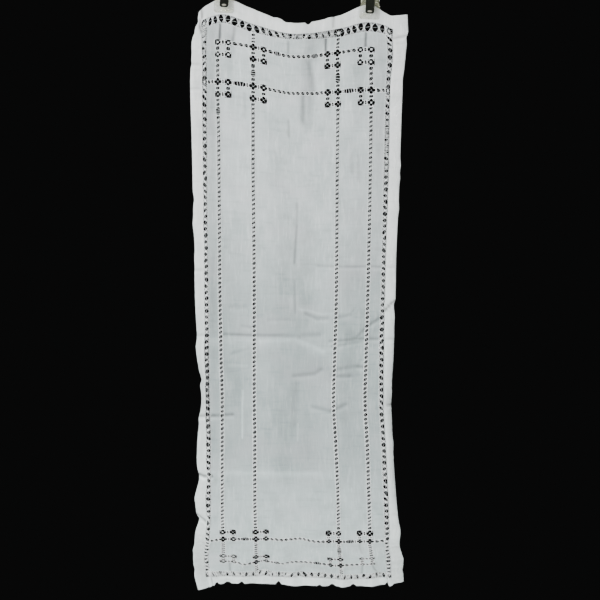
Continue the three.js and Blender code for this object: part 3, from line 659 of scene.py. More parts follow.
def tube_arrays(paths, radius, closed=False):
    """Each path's points carry a ring: centre + radius (cos a * across + sin a * up), where across is the
    path's direction crossed with the viewer's. Open paths are shut by their end rings."""
    count, steps = paths.shape[:2]
    if closed:
        along = np.roll(paths, -1, axis=1) - np.roll(paths, 1, axis=1)
    else:
        along = np.gradient(paths, axis=1)
    along = unit(along)
    across = unit(np.cross(along, TOWARDS_VIEWER))
    up = np.cross(across, along)
    angle = (0.5 + np.arange(SIDES)) * 2 * np.pi / SIDES
    ring = across[:, :, None] * np.cos(angle)[:, None] + up[:, :, None] * np.sin(angle)[:, None]
    radius = np.broadcast_to(radius, (count, steps))
    points = paths[:, :, None] + ring * radius[:, :, None, None]
    index = np.arange(count * steps * SIDES).reshape(count, steps, SIDES)
    here = index if closed else index[:, :-1]
    after = np.roll(index, -1, axis=1) if closed else index[:, 1:]
    walls = np.stack([here, np.roll(here, -1, -1), np.roll(after, -1, -1), after], -1).reshape(-1, 4)
    ends = [] if closed else [index[:, 0, ::-1], index[:, -1]]
    return points.reshape(-1, 3), np.vstack([walls] + ends)


def joined(parts):
    """Several (points, quads) pairs as one, with the later faces' numbers moved up."""
    offsets = np.cumsum([0] + [len(points) for points, quads in parts])
    return np.vstack([p for p, q in parts]), np.vstack([q + o for (p, q), o in zip(parts, offsets)])


# %% [markdown]
# ## The pattern of openings
#
# Ladder lines are bands from which the threads were drawn. Two run the whole way between the end borders,
# two stop at the first crosswise line, and each crossing has four open squares. A table of runs names
# every band once, and the cloth, the bundles and the stitches all read it.

# %% Ladder runs
LADDER_HALF = 3.2
# Each run: runs down the cloth or not, the line's place, from, to
runs = [(True, side * INNER, GROUND_TOP, GROUND_BOTTOM) for side in (-1, 1)]
runs += [(True, side * OUTER, FIRST, LENGTH - FIRST) for side in (-1, 1)]
runs += [(False, from_end(end, FIRST), -OUTER, OUTER) for end in ENDS]
runs += [(False, from_end(end, SECOND), -GROUND_EDGE, GROUND_EDGE) for end in ENDS]
for side, line, end, row in CROSSINGS:
    second_column = side * (line - STEP_ACROSS)
    second_row = from_end(end, row + STEP_DOWN[end])
    runs.append((True, second_column, *sorted((from_end(end, row), second_row))))
    runs.append((False, second_row, *sorted((side * line, second_column))))

# Longer openings on the lines, midway between the squares: runs down, line, centre, half length
long_gaps = [
    (False, SECOND, -98, 9), (False, SECOND, 96, 8.5), (False, FIRST, -34, 6), (False, FIRST, 34, 6.5),
    (True, -INNER, 116, 6.5), (True, INNER, 114, 9), (True, -OUTER, 190, 6.5),
    (False, LENGTH - SECOND, -96, 7), (False, LENGTH - SECOND, 98, 7.5), (True, INNER, LENGTH - 112, 8),
    (False, LENGTH - FIRST, 34, 7), (False, LENGTH - FIRST, -38, 5.5),
]
LONG_HALF = 4.0
print(len(runs), "ladder runs,", len(long_gaps), "long gaps")

# %% [markdown]
# ## The ground
#
# The ground is a single layer, so it is a surface on a grid. Lines of the grid follow the edges of every
# band and square, and the cells inside them are left out. Between those lines the grid is about 2 mm, fine
# enough for the small creases.


# %% Grid lines that follow the openings
def grid_lines(edges, spacing):
    """Every edge once, and between two edges as many even steps as keep them under spacing."""
    edges = np.unique(np.round(edges, 3))
    steps = np.maximum(1, np.ceil(np.diff(edges) / spacing)).astype(int)
    lines = [np.linspace(a, b, n, endpoint=False) for a, b, n in zip(edges, edges[1:], steps)]
    return np.concatenate(lines + [edges[-1:]])


def band_edges(place, half):
    return [place - half, place + half]


GRID_ACROSS, GRID_DOWN = 2.05, 2.5
across_edges = [-GROUND_EDGE, GROUND_EDGE]
down_edges = [GROUND_TOP, GROUND_BOTTOM]
for centre_u, centre_v in squares:
    across_edges += band_edges(centre_u, SQUARE / 2)
    down_edges += band_edges(centre_v, SQUARE / 2)
for runs_down, line, low, high in runs:
    (across_edges if runs_down else down_edges).extend(band_edges(line, LADDER_HALF))
for runs_down, line, centre, half in long_gaps:
    (across_edges if runs_down else down_edges).extend(band_edges(line, LONG_HALF))
    (down_edges if runs_down else across_edges).extend(band_edges(centre, half))
ground_u = grid_lines(across_edges, GRID_ACROSS)
ground_v = grid_lines(down_edges, GRID_DOWN)
print("ground grid", len(ground_u), "x", len(ground_v))


# %% Leave out the cells in the openings
def off_and_along(runs_down, line, u, v):
    """How far a flat point is off a line, and how far along it."""
    return (u - line, v) if runs_down else (v - line, u)


def in_openings(u, v):
    """True where a flat point lies in a drawn band, a long gap or an open square."""
    inside = np.zeros(u.shape, bool)
    for runs_down, line, low, high in runs:
        off, along = off_and_along(runs_down, line, u, v)
        inside |= (np.abs(off) < LADDER_HALF) & (along > low) & (along < high)
    for runs_down, line, centre, half in long_gaps:
        off, along = off_and_along(runs_down, line, u, v)
        inside |= (np.abs(off) < LONG_HALF) & (np.abs(along - centre) < half)
    for centre_u, centre_v in squares:
        inside |= (np.abs(u - centre_u) < SQUARE / 2) & (np.abs(v - centre_v) < SQUARE / 2)
    return inside


def grid_quads(rows, columns):
    """Four corner numbers for each cell of a grid stored row by row, anticlockwise on the cloth's face."""
    index = np.arange(rows * columns).reshape(rows, columns)
    cells = [index[:-1, :-1], index[1:, :-1], index[1:, 1:], index[:-1, 1:]]
    return np.stack([c.ravel() for c in cells], -1)


flat_v, flat_u = np.meshgrid(ground_v, ground_u, indexing="ij")
cell_u, cell_v = np.meshgrid((ground_u[1:] + ground_u[:-1]) / 2, (ground_v[1:] + ground_v[:-1]) / 2)
keep = ~in_openings(cell_u, cell_v).ravel()
ground_quads = grid_quads(len(ground_v), len(ground_u))[keep]
ground_flat = np.stack([flat_u.ravel(), flat_v.ravel()], -1)
ground_points = lifted(*ground_flat.T, 0.0)

# %% [markdown]
# ## The hem
#
# The hem is turned twice, so it is three layers thick and looks whiter than the sheer ground. Its section
# is a flat loop: up the front, round the folded edge and back down. The side hems run the whole height and
# lap over the end hems, which leaves the short upright seam at each corner, and small puckers run across it.

# %% Hem strips
# The front layer: out of the hem line to the edge 0..1, lift from the middle surface in mm
HEM_FRONT = [(0.0, 0.30), (0.06, 0.42), (0.25, 0.66), (0.5, 0.72), (0.75, 0.68), (0.93, 0.5), (0.99, 0.22)]
HEM_SECTION = np.array(HEM_FRONT + [(1.0, 0.0)] + [(out, -lift) for out, lift in HEM_FRONT[::-1]])
# The puckers' waves: length, phase, height
PUCKERS = [(rng.uniform(7, 22), rng.uniform(0, 2 * np.pi), rng.uniform(0.1, 0.24)) for wave in range(6)]
PUCKER_SLANT, PUCKER_FADE = 1.4, 0.6
HEM_SPACING = 3.0
# The end hems reach this far under the side hems, which are thicker there by this share
LAP, LAP_EXTRA = 1.5, 0.12


def puckers(along, out):
    """Short waves along the hem, strongest near its stitched line: a sum of sines times 1 - fade out."""
    total = 0
    for length, phase, height in PUCKERS:
        total = total + height * np.sin(2 * np.pi * along / length + phase + PUCKER_SLANT * out)
    return total * (1 - PUCKER_FADE * out)


def hem_strip(along, place, extra=0.0):
    """The section carried along one side of the cloth. place turns (along, out) into a flat point."""
    out, lift = HEM_SECTION.T
    grid_along, grid_out = np.meshgrid(along, out, indexing="ij")
    u, v = place(grid_along, grid_out * HEM)
    thick = lift * (1 + extra) + puckers(grid_along, grid_out) * freedom(u, v)
    points = lifted(u, v, thick).reshape(-1, 3)
    return points, grid_quads(len(along), len(out)), np.stack([u.ravel(), v.ravel()], -1)


def facing_out(strip):
    """Turns the strip's faces round if its front layer, which comes first, looks away from the viewer."""
    points, quads, flat = strip
    a, b, c = (points[quads[:, k]] for k in (0, 1, 2))
    normal = np.cross(b - a, c - a)
    front = quads[:, 0] % len(HEM_SECTION) < len(HEM_FRONT) - 2
    return (points, quads if normal[front, 1].mean() < 0 else quads[:, ::-1], flat)


down_stops = grid_lines([0, LENGTH], HEM_SPACING)
end_stops = grid_lines([-HEM_LINE - LAP, HEM_LINE + LAP], HEM_SPACING)
hem_parts = [
    hem_strip(end_stops, lambda along, out: (along, HEM - out)),
    hem_strip(end_stops, lambda along, out: (along, LENGTH - HEM + out)),
    hem_strip(down_stops, lambda along, out: (-HEM_LINE - out, along), LAP_EXTRA),
    hem_strip(down_stops, lambda along, out: (HEM_LINE + out, along), LAP_EXTRA),
]
hem_parts = [facing_out(part) for part in hem_parts]
print("hem strips", [len(points) for points, quads, flat in hem_parts], "points")

# %% One piece of cloth
cloth_points, cloth_quads = joined([(ground_points, ground_quads)] + [(p, q) for p, q, f in hem_parts])
cloth_flat = np.vstack([ground_flat] + [f for p, q, f in hem_parts])
cloth_layers = np.zeros(len(cloth_points))
cloth_layers[len(ground_points):] = 1
used = np.unique(cloth_quads)
renumber = np.full(len(cloth_points), -1)
renumber[used] = np.arange(len(used))
# The shade attribute carries the painted light and shade worked out above
runner = mesh_piece(
    "runner_linen",
    cloth_points[used],
    renumber[cloth_quads],
    cloth_flat[used],
    layers=cloth_layers[used],
    shade=painted_light_and_shade(*cloth_flat[used].T),
)

# %% [markdown]
# ## Bundles
#
# Where threads were drawn out, the crossing threads stay. A stitch gathers a dozen of them at a time into a
# bundle, spread at both edges of the band and tight at its waist, so the openings are small diamonds. The
# stitching pulls the bundles askew, which slants the diamonds, and no two are alike. Each bundle is made of
# a few thick strands that follow that hourglass.


# %% Hourglass bundles
# The share of the pitch that a bundle fills at the band's edges, and how unevenly its strands lie
EDGE_SPREAD = 0.96
UNEVEN = 0.055
# How far a bundle's middle strands stand out, and how far its ends are tucked under the cloth
STAND_OUT = 0.25
TUCKED = 0.5


def bundle_paths(places, pitch, half, strands, steps, waist, tilt, place, slack=0.0, power=1.4):
    """Strand k of a bundle, k from about -1/2 to 1/2, is off the bundle's middle by k * pitch times a spread:
    its waist's share in the middle of the band, rising as a power to the edges. The tilt shears it."""
    count = len(places)
    places, pitch, waist, tilt = (
        np.broadcast_to(x, count).astype(float)[:, None, None] for x in (places, pitch, waist, tilt)
    )
    k = np.linspace(-0.5, 0.5, strands)[:, None] + rng.uniform(-UNEVEN, UNEVEN, (count, strands, 1))
    loose = rng.uniform(0.9, 1.05, (count, strands, 1))
    t = np.linspace(-1, 1, steps)
    spread = waist + (EDGE_SPREAD - waist) * np.abs(t) ** power
    along = places + k * spread * pitch * loose + tilt * t
    lift = (STAND_OUT * np.cos(np.pi * k) + slack) * (1 - t**2)
    return lifted(*place(along, t * (half + TUCKED)), lift).reshape(-1, steps, 3)


def on_line(runs_down, line):
    """Turns a distance along a line and a distance off it into a flat point."""
    return (lambda along, out: (line + out, along)) if runs_down else (lambda along, out: (along, line + out))


def stations(low, high, pitch_at):
    """Places from low to high, a pitch apart, where the pitch changes along the way: the running total of
    1 / pitch is cut into even steps."""
    fine = np.linspace(low, high, 400)
    density = 1 / pitch_at(fine)
    total = np.concatenate([[0], np.cumsum((density[1:] + density[:-1]) / 2 * np.diff(fine))])
    count = max(1, int(round(total[-1])))
    return np.interp(np.linspace(0, total[-1], count + 1), total, fine)


# %% The border's bundles
# How far a bundle's waist is drawn in, 0.1 tight to 0.7 loose, at places along each side of the border
TOP_WAIST = (
    [-160, -150, -60, -40, 0, 40, 75, 90, 150, 160],
    [0.35, 0.08, 0.14, 0.3, 0.38, 0.36, 0.3, 0.1, 0.08, 0.3],
)
BOTTOM_WAIST = ([-160, -80, -30, 20, 60, 120, 160], [0.6, 0.5, 0.4, 0.3, 0.45, 0.35, 0.6])
LEFT_WAIST = ([35, 60, 100, 140, 500, 1054], [0.7, 0.6, 0.4, 0.2, 0.14, 0.25])
RIGHT_WAIST = ([35, 180, 215, 260, 300, 1000, 1054], [0.12, 0.2, 0.6, 0.5, 0.12, 0.14, 0.4])


def side_pitch(v):
    return np.interp(v, [0, 100, 300, 800, LENGTH], [13.0, 12.6, 10.9, 10.7, 11.6])


def end_pitch(u):
    return np.full(len(u), 11.83)


# A large wheel keeps the bundles this far from its middle
JUNCTION_REACH = 5.0
junctions = [(INNER, BORDER_LINE), (BORDER_LINE - HALF, SECOND), (HALF - BORDER_LINE, SECOND)]


def clear_of_wheels(places, runs_down, line):
    """True where a bundle on the border leaves room for the large wheels."""
    clear = np.ones(len(places), bool)
    for centre in junctions:
        off, along = off_and_along(runs_down, line, *centre)
        if abs(off) < 1:
            clear &= np.abs(places - along) > JUNCTION_REACH
    return clear


# Each: strands in a bundle, their radius, how far they stand out, the power of their spread
TOP_STRANDS = (8, 0.3, 0.4, 1.3)
BOTTOM_STRANDS = (12, 0.5, 0.4, 0.8)
SIDE_STRANDS = (6, 0.38, 1.4, 1.4)
TIGHTEST, LOOSEST = 0.06, 0.8
border_sides = []
for runs_down, line, low, high, pitch_at, waists, strands in [
    (False, BORDER_LINE, -GROUND_EDGE, GROUND_EDGE, end_pitch, TOP_WAIST, TOP_STRANDS),
    (False, LENGTH - BORDER_LINE, -GROUND_EDGE, GROUND_EDGE, end_pitch, BOTTOM_WAIST, BOTTOM_STRANDS),
    (True, BORDER_LINE - HALF, GROUND_TOP, GROUND_BOTTOM, side_pitch, LEFT_WAIST, SIDE_STRANDS),
    (True, HALF - BORDER_LINE, GROUND_TOP, GROUND_BOTTOM, side_pitch, RIGHT_WAIST, SIDE_STRANDS),
]:
    places = stations(low, high, pitch_at)
    waist = np.interp(places, *waists) * rng.uniform(0.5, 1.5, len(places))
    waist = np.clip(waist, TIGHTEST, LOOSEST)
    # A bundle within 5 mm of a corner keeps its place
    free = np.abs(places - (low + high) / 2) < (high - low) / 2 - 5
    shifted = places + rng.uniform(-0.9, 0.9, len(places)) * free
    tilt = rng.normal(0, 1.5, len(places))
    clear = clear_of_wheels(places, runs_down, line)
    columns = [column[clear] for column in (shifted, np.gradient(places), waist, tilt)]
    border_sides.append((runs_down, line, strands, *columns))

# Below the middle of the left side the threads are worn thin: the share lost, where, over how far
WORN, WORN_AT, WORN_REACH = 0.55, 675, 80
parts = []
for runs_down, line, (count, radius, slack, power), places, pitch, waist, tilt in border_sides:
    worn = WORN * bell((places - WORN_AT) / WORN_REACH) * (line == BORDER_LINE - HALF)
    place = on_line(runs_down, line)
    paths = bundle_paths(places, pitch, BORDER / 2, count, 7, waist, tilt, place, slack, power)
    parts.append(tube_arrays(paths, np.repeat(radius * (1 - worn), count)[:, None] * MM))
border_bundles = mesh_piece("border_bundles", *joined(parts))


# %% The ladder lines' bundles
# Across the cloth they stand 8.3 mm apart, and down it about 8 mm, closing near the lower end: down, pitch
PITCH_ACROSS = 8.3
PITCH_DOWN = ([0, 780, 900, LENGTH], [8.0, 7.8, 6.6, 6.6])


def ladder_pitch(runs_down):
    if runs_down:
        return lambda v: np.interp(v, *PITCH_DOWN)
    return lambda u: np.full(len(u), PITCH_ACROSS)


def free_stretches(runs_down, line, low, high):
    """The stretches of a run between its open squares and long gaps, without any under 3 mm."""
    blocks = []
    for centre in squares:
        off, along = off_and_along(runs_down, line, *centre)
        if abs(off) < 1:
            blocks.append((along - SQUARE / 2, along + SQUARE / 2))
    for gap_down, gap_line, centre, half in long_gaps:
        if gap_down == runs_down and abs(gap_line - line) < 1:
            blocks.append((centre - half, centre + half))
    stretches, start = [], low
    for first, last in sorted(blocks) + [(high, high)]:
        stop = min(first, high)
        if stop - start > 3:
            stretches.append((start, stop))
        start = max(start, last)
    return stretches


ladder_stations = []
for runs_down, line, low, high in runs:
    for start, stop in free_stretches(runs_down, line, low, high):
        # The end bundles stand 1.1 mm inside, against the square's rim
        places = stations(start + 1.1, stop - 1.1, ladder_pitch(runs_down))
        places[1:-1] += rng.uniform(-0.6, 0.6, len(places) - 2)
        ladder_stations.append((runs_down, line, places))

# The lines that run down are tied loosely above the middle, and tightly below it and between the two
# lowest rows: down, added to the waist
DOWN_WAIST = (
    [0, 150, 220, 400, 470, 540, 760, 800, 940, 965],
    [0, 0.06, 0.16, 0.12, -0.02, -0.14, -0.14, 0.03, 0.03, -0.12],
)
LADDER_TIGHTEST = 0.02
# The stitching slants the bundles one way on the lines that run down, the other way on those across
SLANT_DOWN, SLANT_ACROSS = -1.25, 1.0
ladder_strands = []
for runs_down, line, places in ladder_stations:
    pitch = np.gradient(places)
    waist = rng.uniform(0.06, 0.22, len(places)) + (np.interp(places, *DOWN_WAIST) if runs_down else 0)
    waist = np.maximum(waist, LADDER_TIGHTEST)
    tilt = rng.normal(SLANT_DOWN if runs_down else SLANT_ACROSS, 0.35, len(places))
    # The end bundles are thinner and stand straighter
    pitch[[0, -1]] *= 0.6
    tilt[[0, -1]] *= 0.3
    place = on_line(runs_down, line)
    ladder_strands.append(bundle_paths(places, pitch, LADDER_HALF, 6, 5, waist, tilt, place, power=1.7))
# Three thin bundles cross each long gap
for runs_down, line, centre, half in long_gaps:
    places = centre + half * np.array([-0.5, 0.05, 0.55]) + rng.uniform(-0.5, 0.5, 3)
    tilt = rng.normal(0, 0.8, 3)
    ladder_strands.append(bundle_paths(places, 0.3, LONG_HALF, 2, 5, 0.3, tilt, on_line(runs_down, line)))
ladder_bundles = mesh_piece("ladder_bundles", *tube_arrays(np.concatenate(ladder_strands), 0.3 * MM))

# %% [markdown]
# ## Tying threads
#
# One long thread runs down the middle of every band and takes a knot round each bundle's waist. Between
# two bundles it crosses the opening a little askew.


# %% A tying thread and its knots
def tying_paths(places, place, askew, knot_half):
    """Between stations the thread runs from one side of the waist to the other: off the line by askew times
    the cosine of the way. Knots are short fat lengths across the waist."""
    places = np.sort(places)
    starts, ends = places[:-1, None], places[1:, None]
    t = np.linspace(0, 1, 4)
    thread = lifted(*place(starts + (ends - starts) * t, askew * np.cos(np.pi * t)), 0.35)
    k = np.linspace(-1, 1, 4)
    knot_lift = 0.45 + 0.35 * np.cos(k * np.pi / 2)
    return thread, lifted(*place(places[:, None] + k * knot_half, -askew * k), knot_lift)


# How far off the line the thread runs, and half of a knot's length: the top border's knots are smaller
LADDER_ASKEW, LADDER_KNOT = 0.8, 0.9
BORDER_ASKEW, TOP_KNOT, OTHER_KNOT = 0.6, 1.0, 1.5
THREAD = 0.17
ladder_tied = [
    tying_paths(places, on_line(runs_down, line), LADDER_ASKEW, LADDER_KNOT)
    for runs_down, line, places in ladder_stations
]
border_tied = [
    tying_paths(places, on_line(down, line), BORDER_ASKEW, TOP_KNOT if line == BORDER_LINE else OTHER_KNOT)
    for down, line, strands, places, *rest in border_sides
]
parts = []
# A knot is thin at its ends and thick in its middle
for tied, knot_radius in [(ladder_tied, [0.35, 0.6, 0.6, 0.35]), (border_tied, [0.5, 0.82, 0.82, 0.5])]:
    threads, knots = (np.concatenate(paths) for paths in zip(*tied))
    parts += [tube_arrays(threads, THREAD * MM), tube_arrays(knots, np.array(knot_radius) * MM)]
tying_threads = mesh_piece("tying_threads", *joined(parts))


# %% [markdown]
# ## Wheels in the open squares
#
# Every open square is crossed by a spider: four spokes from the overcast edge to the centre, woven round
# and round into a small wheel. Larger wheels on eight spokes fill the corners of the border and three of
# the places where a ladder line runs into it.


# %% A spider wheel
def wheel_paths(centres, reach, wheel, turns, arms=8):
    """Spokes: straight lines from the edge to the centre, one for each arm. Wheel: a spiral whose radius
    grows evenly with the angle, wavering over and under the spokes."""
    centres = np.asarray(centres, float)
    centres = centres + rng.uniform(-0.5, 0.5, centres.shape)
    wheel = np.broadcast_to(np.asarray(wheel, float), len(centres))
    angle = np.arange(arms) * 2 * np.pi / arms + (0.9 if arms == 4 else 0.12)
    square = 1 / np.maximum(np.abs(np.cos(angle)), np.abs(np.sin(angle)))
    direction = np.stack([np.cos(angle), np.sin(angle)], -1) * (reach * square)[:, None]
    # A spoke starts a little outside the edge, in the cloth
    t = np.linspace(1.08, 0.02, 4)
    spokes = centres[:, None, None] + direction[:, None] * t[:, None]
    steps = 14 * turns
    way = np.linspace(0, 2 * np.pi * turns, steps)
    radius = wheel[:, None] * (0.25 + 0.75 * way / way[-1])
    spiral = centres[:, None] + radius[..., None] * np.stack([np.cos(way), np.sin(way)], -1)
    over = 0.3 + 0.28 * np.cos(8 * way)
    return (
        lifted(spokes[..., 0], spokes[..., 1], 0.0).reshape(-1, 4, 3),
        lifted(spiral[..., 0], spiral[..., 1], over),
    )


def rim_paths(centres, half):
    """The overcast edge of each square: a closed thread along its four sides."""
    side = np.linspace(-1, 1, 6)[:-1]
    ones = np.ones_like(side)
    legs = [(side, -ones), (ones, side), (-side, ones), (-ones, -side)]
    loop = np.concatenate([np.stack(leg, -1) for leg in legs]) * half
    points = np.asarray(centres)[:, None] + loop
    return lifted(points[..., 0], points[..., 1], 0.15)


# %% Wheels and rims
CORNER_WHEEL = 1.7
JUNCTION_WHEELS = [2.6, 2.2, 2.6]
corner_centres = [
    (side * (HALF - BORDER_LINE), from_end(end, BORDER_LINE)) for side, end in product((-1, 1), ENDS)
]
square_wheels = np.where(on_crossing, 0.4, rng.choice([0.4, 0.7, 1.2], len(squares)))
square_wheels[in_corner] = 2.0
small_spokes, small_wheels = wheel_paths(squares, SQUARE / 2, square_wheels, 3, arms=4)
small_thread = np.where(on_crossing, 0.1, np.where(in_corner, 0.3, 0.2))[:, None]
corner_spokes, corner_wheels = wheel_paths(corner_centres, BORDER / 2, CORNER_WHEEL, 4)
junction_spokes, junction_wheels = wheel_paths(junctions, JUNCTION_REACH + 1, JUNCTION_WHEELS, 4)
parts = [
    tube_arrays(small_spokes, 0.085 * MM),
    tube_arrays(small_wheels, small_thread * MM),
    tube_arrays(np.concatenate([corner_spokes, junction_spokes]), 0.22 * MM),
    tube_arrays(np.concatenate([corner_wheels, junction_wheels]), 0.45 * MM),
    tube_arrays(rim_paths(squares, SQUARE / 2 + 0.3), 0.28 * MM, closed=True),
    tube_arrays(rim_paths(corner_centres, BORDER / 2 + 0.2), 0.4 * MM, closed=True),
]
wheels = mesh_piece("spider_wheels", *joined(parts))


# %% [markdown]
# ## Hemstitches
#
# Along both edges of every band a stitch goes round each bundle and bites into the cloth. Each is a pair of
# short threads: one lies along the edge, and one runs from it into the cloth.


# %% Stitches along the edges
def stitch_paths(places, place, half, bite, pitch):
    """Each stitch has two legs: one along the edge by most of the pitch, one into the cloth by bite. Both
    rise from the cloth in their middles, as a cosine and as a sine."""
    middle, t = np.linspace(-0.5, 0.5, 4), np.linspace(0, 1, 4)
    places = places[:, None]
    legs = []
    for side in (-1, 1):
        edge_leg = place(places + middle * pitch * 0.78, side * half)
        legs.append(lifted(*edge_leg, 0.28 + 0.2 * np.cos(np.pi * middle)))
        bite_leg = place(places + pitch * (0.42 + 0.1 * t), side * (half + bite * t))
        legs.append(lifted(*bite_leg, 0.3 * np.sin(np.pi * t) + 0.1))
    return np.concatenate(legs)


# Off the line, bite, pitch, radius
LADDER_STITCH = (LADDER_HALF + 0.45, 1.4, 7.4, 0.52)
BORDER_STITCH = (BORDER / 2 + 0.3, 2.0, 10.8, 0.36)
border_stations = [(runs_down, line, places) for runs_down, line, strands, places, *rest in border_sides]
parts = []
for band_stations, (*stitch, radius) in [(ladder_stations, LADDER_STITCH), (border_stations, BORDER_STITCH)]:
    legs = [stitch_paths(places, on_line(down, line), *stitch) for down, line, places in band_stations]
    parts.append(tube_arrays(np.concatenate(legs), radius * MM))
hemstitches = mesh_piece("hemstitches", *joined(parts))

# %% [markdown]
# ## Shader helper
#
# Shader maths reads best as a formula, so a small class wraps a socket: an expression on two values adds
# the Math node that works it out. One method makes any other node.


# %% A value in a node tree
class Value:
    def __init__(self, tree, socket):
        self.tree = tree
        self.socket = socket

    def math(self, operation, *others):
        node = self.tree.nodes.new("ShaderNodeMath")
        node.operation = operation
        for slot, value in zip(node.inputs, (self, *others)):
            connect(self.tree, slot, value)
        return Value(self.tree, node.outputs[0])

    def __add__(self, other):
        return self.math("ADD", other)

    def __sub__(self, other):
        return self.math("SUBTRACT", other)

    def __mul__(self, other):
        return self.math("MULTIPLY", other)

    def __rsub__(self, other):
        return (self * -1) + other

    __radd__ = __add__
    __rmul__ = __mul__


def connect(tree, slot, value):
    """A link if value is a Value, or else the slot's own number or colour."""
    if isinstance(value, Value):
        tree.links.new(value.socket, slot)
    else:
        slot.default_value = value


class Finish:
    """A material whose nodes are added one call at a time."""

    def __init__(self, name):
        self.material = bpy.data.materials.new(name)
        self.material.use_nodes = True
        self.tree = self.material.node_tree
        self.shader = self.tree.nodes["Principled BSDF"]

    def node(self, kind, settings=None, inputs=None, output=0):
        node = self.tree.nodes.new(kind)
        for key, value in (settings or {}).items():
            setattr(node, key, value)
        for key, value in (inputs or {}).items():
            connect(self.tree, node.inputs[key], value)
        return Value(self.tree, node.outputs[output])

    def set(self, **sockets):
        for key, value in sockets.items():
            connect(self.tree, self.shader.inputs[key.replace("_", " ")], value)

    def noise(self, vector, scale, detail=2.0, roughness=0.5):
        return self.node(
            "ShaderNodeTexNoise",
            inputs={"Vector": vector, "Scale": scale, "Detail": detail, "Roughness": roughness},
        )

    def stretched(self, vector, scale):
        return self.node("ShaderNodeVectorMath", {"operation": "MULTIPLY"}, {0: vector, 1: scale})

    def ramp(self, value, low, high):
        """0 at low, 1 at high, a straight rise between, and level outside."""
        return self.node("ShaderNodeMapRange", inputs={"Value": value, "From Min": low, "From Max": high})

    def blend(self, factor, one, other):
        """One colour turning into another as factor goes from 0 to 1."""
        return self.node("ShaderNodeMix", {"data_type": "RGBA"}, {0: factor, 6: one, 7: other}, 2)

    def bump(self, height, strength, distance):
        relief = {"Height": height, "Strength": strength, "Distance": distance}
        self.set(Normal=self.node("ShaderNodeBump", inputs=relief))


# %% [markdown]
# ## Finishes
#
# Linen: plain weave with uneven threads. Thick slubs show as short pale streaks along both thread
# directions, washing has left faint cool and warm patches, and the single layer is a little see-through.
# All of it follows the cloth's own flat map, so it runs with the folds.

# %% Linen
linen = Finish("white_linen")
flat_map = linen.node("ShaderNodeUVMap", {"uv_map": "flat"})
layers = linen.node("ShaderNodeAttribute", {"attribute_name": "layers"}, output=2)
def threads(scale, detail, roughness, low, high):
    """Noise stretched along the threads by scale, with only its part from low to high kept, as 0 to 1."""
    return linen.ramp(linen.noise(linen.stretched(flat_map, (*scale, 1)), 1, detail, roughness), low, high)


thick_threads = threads((900, 28), 3, 0.6, 0.56, 0.74) + threads((24, 1000), 3, 0.6, 0.6, 0.78)
streaks_down = threads((170, 26), 2, 0.5, 0.52, 0.7)
streaks_across = threads((22, 150), 2, 0.5, 0.55, 0.72)
mottle = threads((34, 24), 3, 0.6, 0.4, 0.6)
dashes = threads((400, 44), 1, 0.4, 0.67, 0.76)
warm_patches = threads((8, 12), 2, 0.5, 0.5, 0.66)
cool_patches = linen.ramp(linen.noise(flat_map, 11, 3), 0.4, 0.6)

# The ground's colour from grey gaps to pale threads, then each kind of patch and thread over it
even = 0.22 + mottle * 0.34 + streaks_down * 0.42 - streaks_across * 0.3
ground_colour = linen.blend(even, (0.46, 0.515, 0.515, 1), (0.735, 0.775, 0.78, 1))
for share, colour in [
    (cool_patches * 0.35, (0.67, 0.7, 0.715, 1)),
    (warm_patches * 0.45, (0.68, 0.665, 0.69, 1)),
    (thick_threads * 0.5, (0.84, 0.85, 0.85, 1)),
    (dashes * 0.6, (0.86, 0.88, 0.88, 1)),
]:
    ground_colour = linen.blend(share, ground_colour, colour)
hem_colour = linen.blend(even, (0.7, 0.715, 0.71, 1), (0.92, 0.92, 0.905, 1))
linen_colour = linen.blend(layers, ground_colour, hem_colour)

# The lower half is a little greener, and the painted light and shade worked out above goes over everything
way_down = linen.node("ShaderNodeSeparateXYZ", inputs={0: flat_map}, output=1)
cool = linen.blend(linen.ramp(way_down, 0.36, 0.58), (0.965, 1, 1, 1), (0.915, 1, 0.995, 1))
linen_colour = linen.node("ShaderNodeVectorMath", {"operation": "MULTIPLY"}, {0: linen_colour, 1: cool})
# The painted shade of creases and folds and the painted light of ridges, lips and patches
painted_shading = linen.node("ShaderNodeAttribute", {"attribute_name": "shade"}, output=2)
linen_colour = linen.node("ShaderNodeVectorMath", {"operation": "SCALE"}, {0: linen_colour, "Scale": painted_shading})


def bands(direction, scale):
    """The weave's even bands in one thread direction."""
    settings = {"wave_type": "BANDS", "bands_direction": direction}
    return linen.node("ShaderNodeTexWave", settings, {"Vector": flat_map, "Scale": scale}, 1)


weave = bands("X", 340.0) + bands("Y", 320.0)
crumple = linen.noise(flat_map, 75, 4, 0.62)
linen.set(Base_Color=linen_colour, Roughness=linen.ramp(crumple, 0.2, 0.8) * 0.1 + 0.8)
linen.set(Alpha=1 - (1 - layers) * (0.1 - thick_threads * 0.05))
linen.shader.inputs["Sheen Weight"].default_value = 0.15
linen.shader.inputs["Specular IOR Level"].default_value = 0.25
relief = weave * 0.05 + crumple * 0.72 + thick_threads * 0.12 + streaks_down * 0.3
linen.bump(relief, 0.55, 0.0014)
print("linen has", len(linen.tree.nodes), "nodes")

# %% [markdown]
# Thread: mercerised cotton, whiter and smoother than the linen, with a fine twist.

# %% Thread
thread_finish = Finish("white_thread")
place = thread_finish.node("ShaderNodeTexCoord", output=3)
twist = thread_finish.noise(place, 1600, 2)
shade = thread_finish.noise(place, 40, 2)
thread_finish.set(
    Base_Color=thread_finish.blend(shade, (0.75, 0.8, 0.8, 1), (0.85, 0.885, 0.885, 1)),
    Roughness=0.55 + twist * 0.15,
)
thread_finish.bump(twist, 0.4, 0.0004)

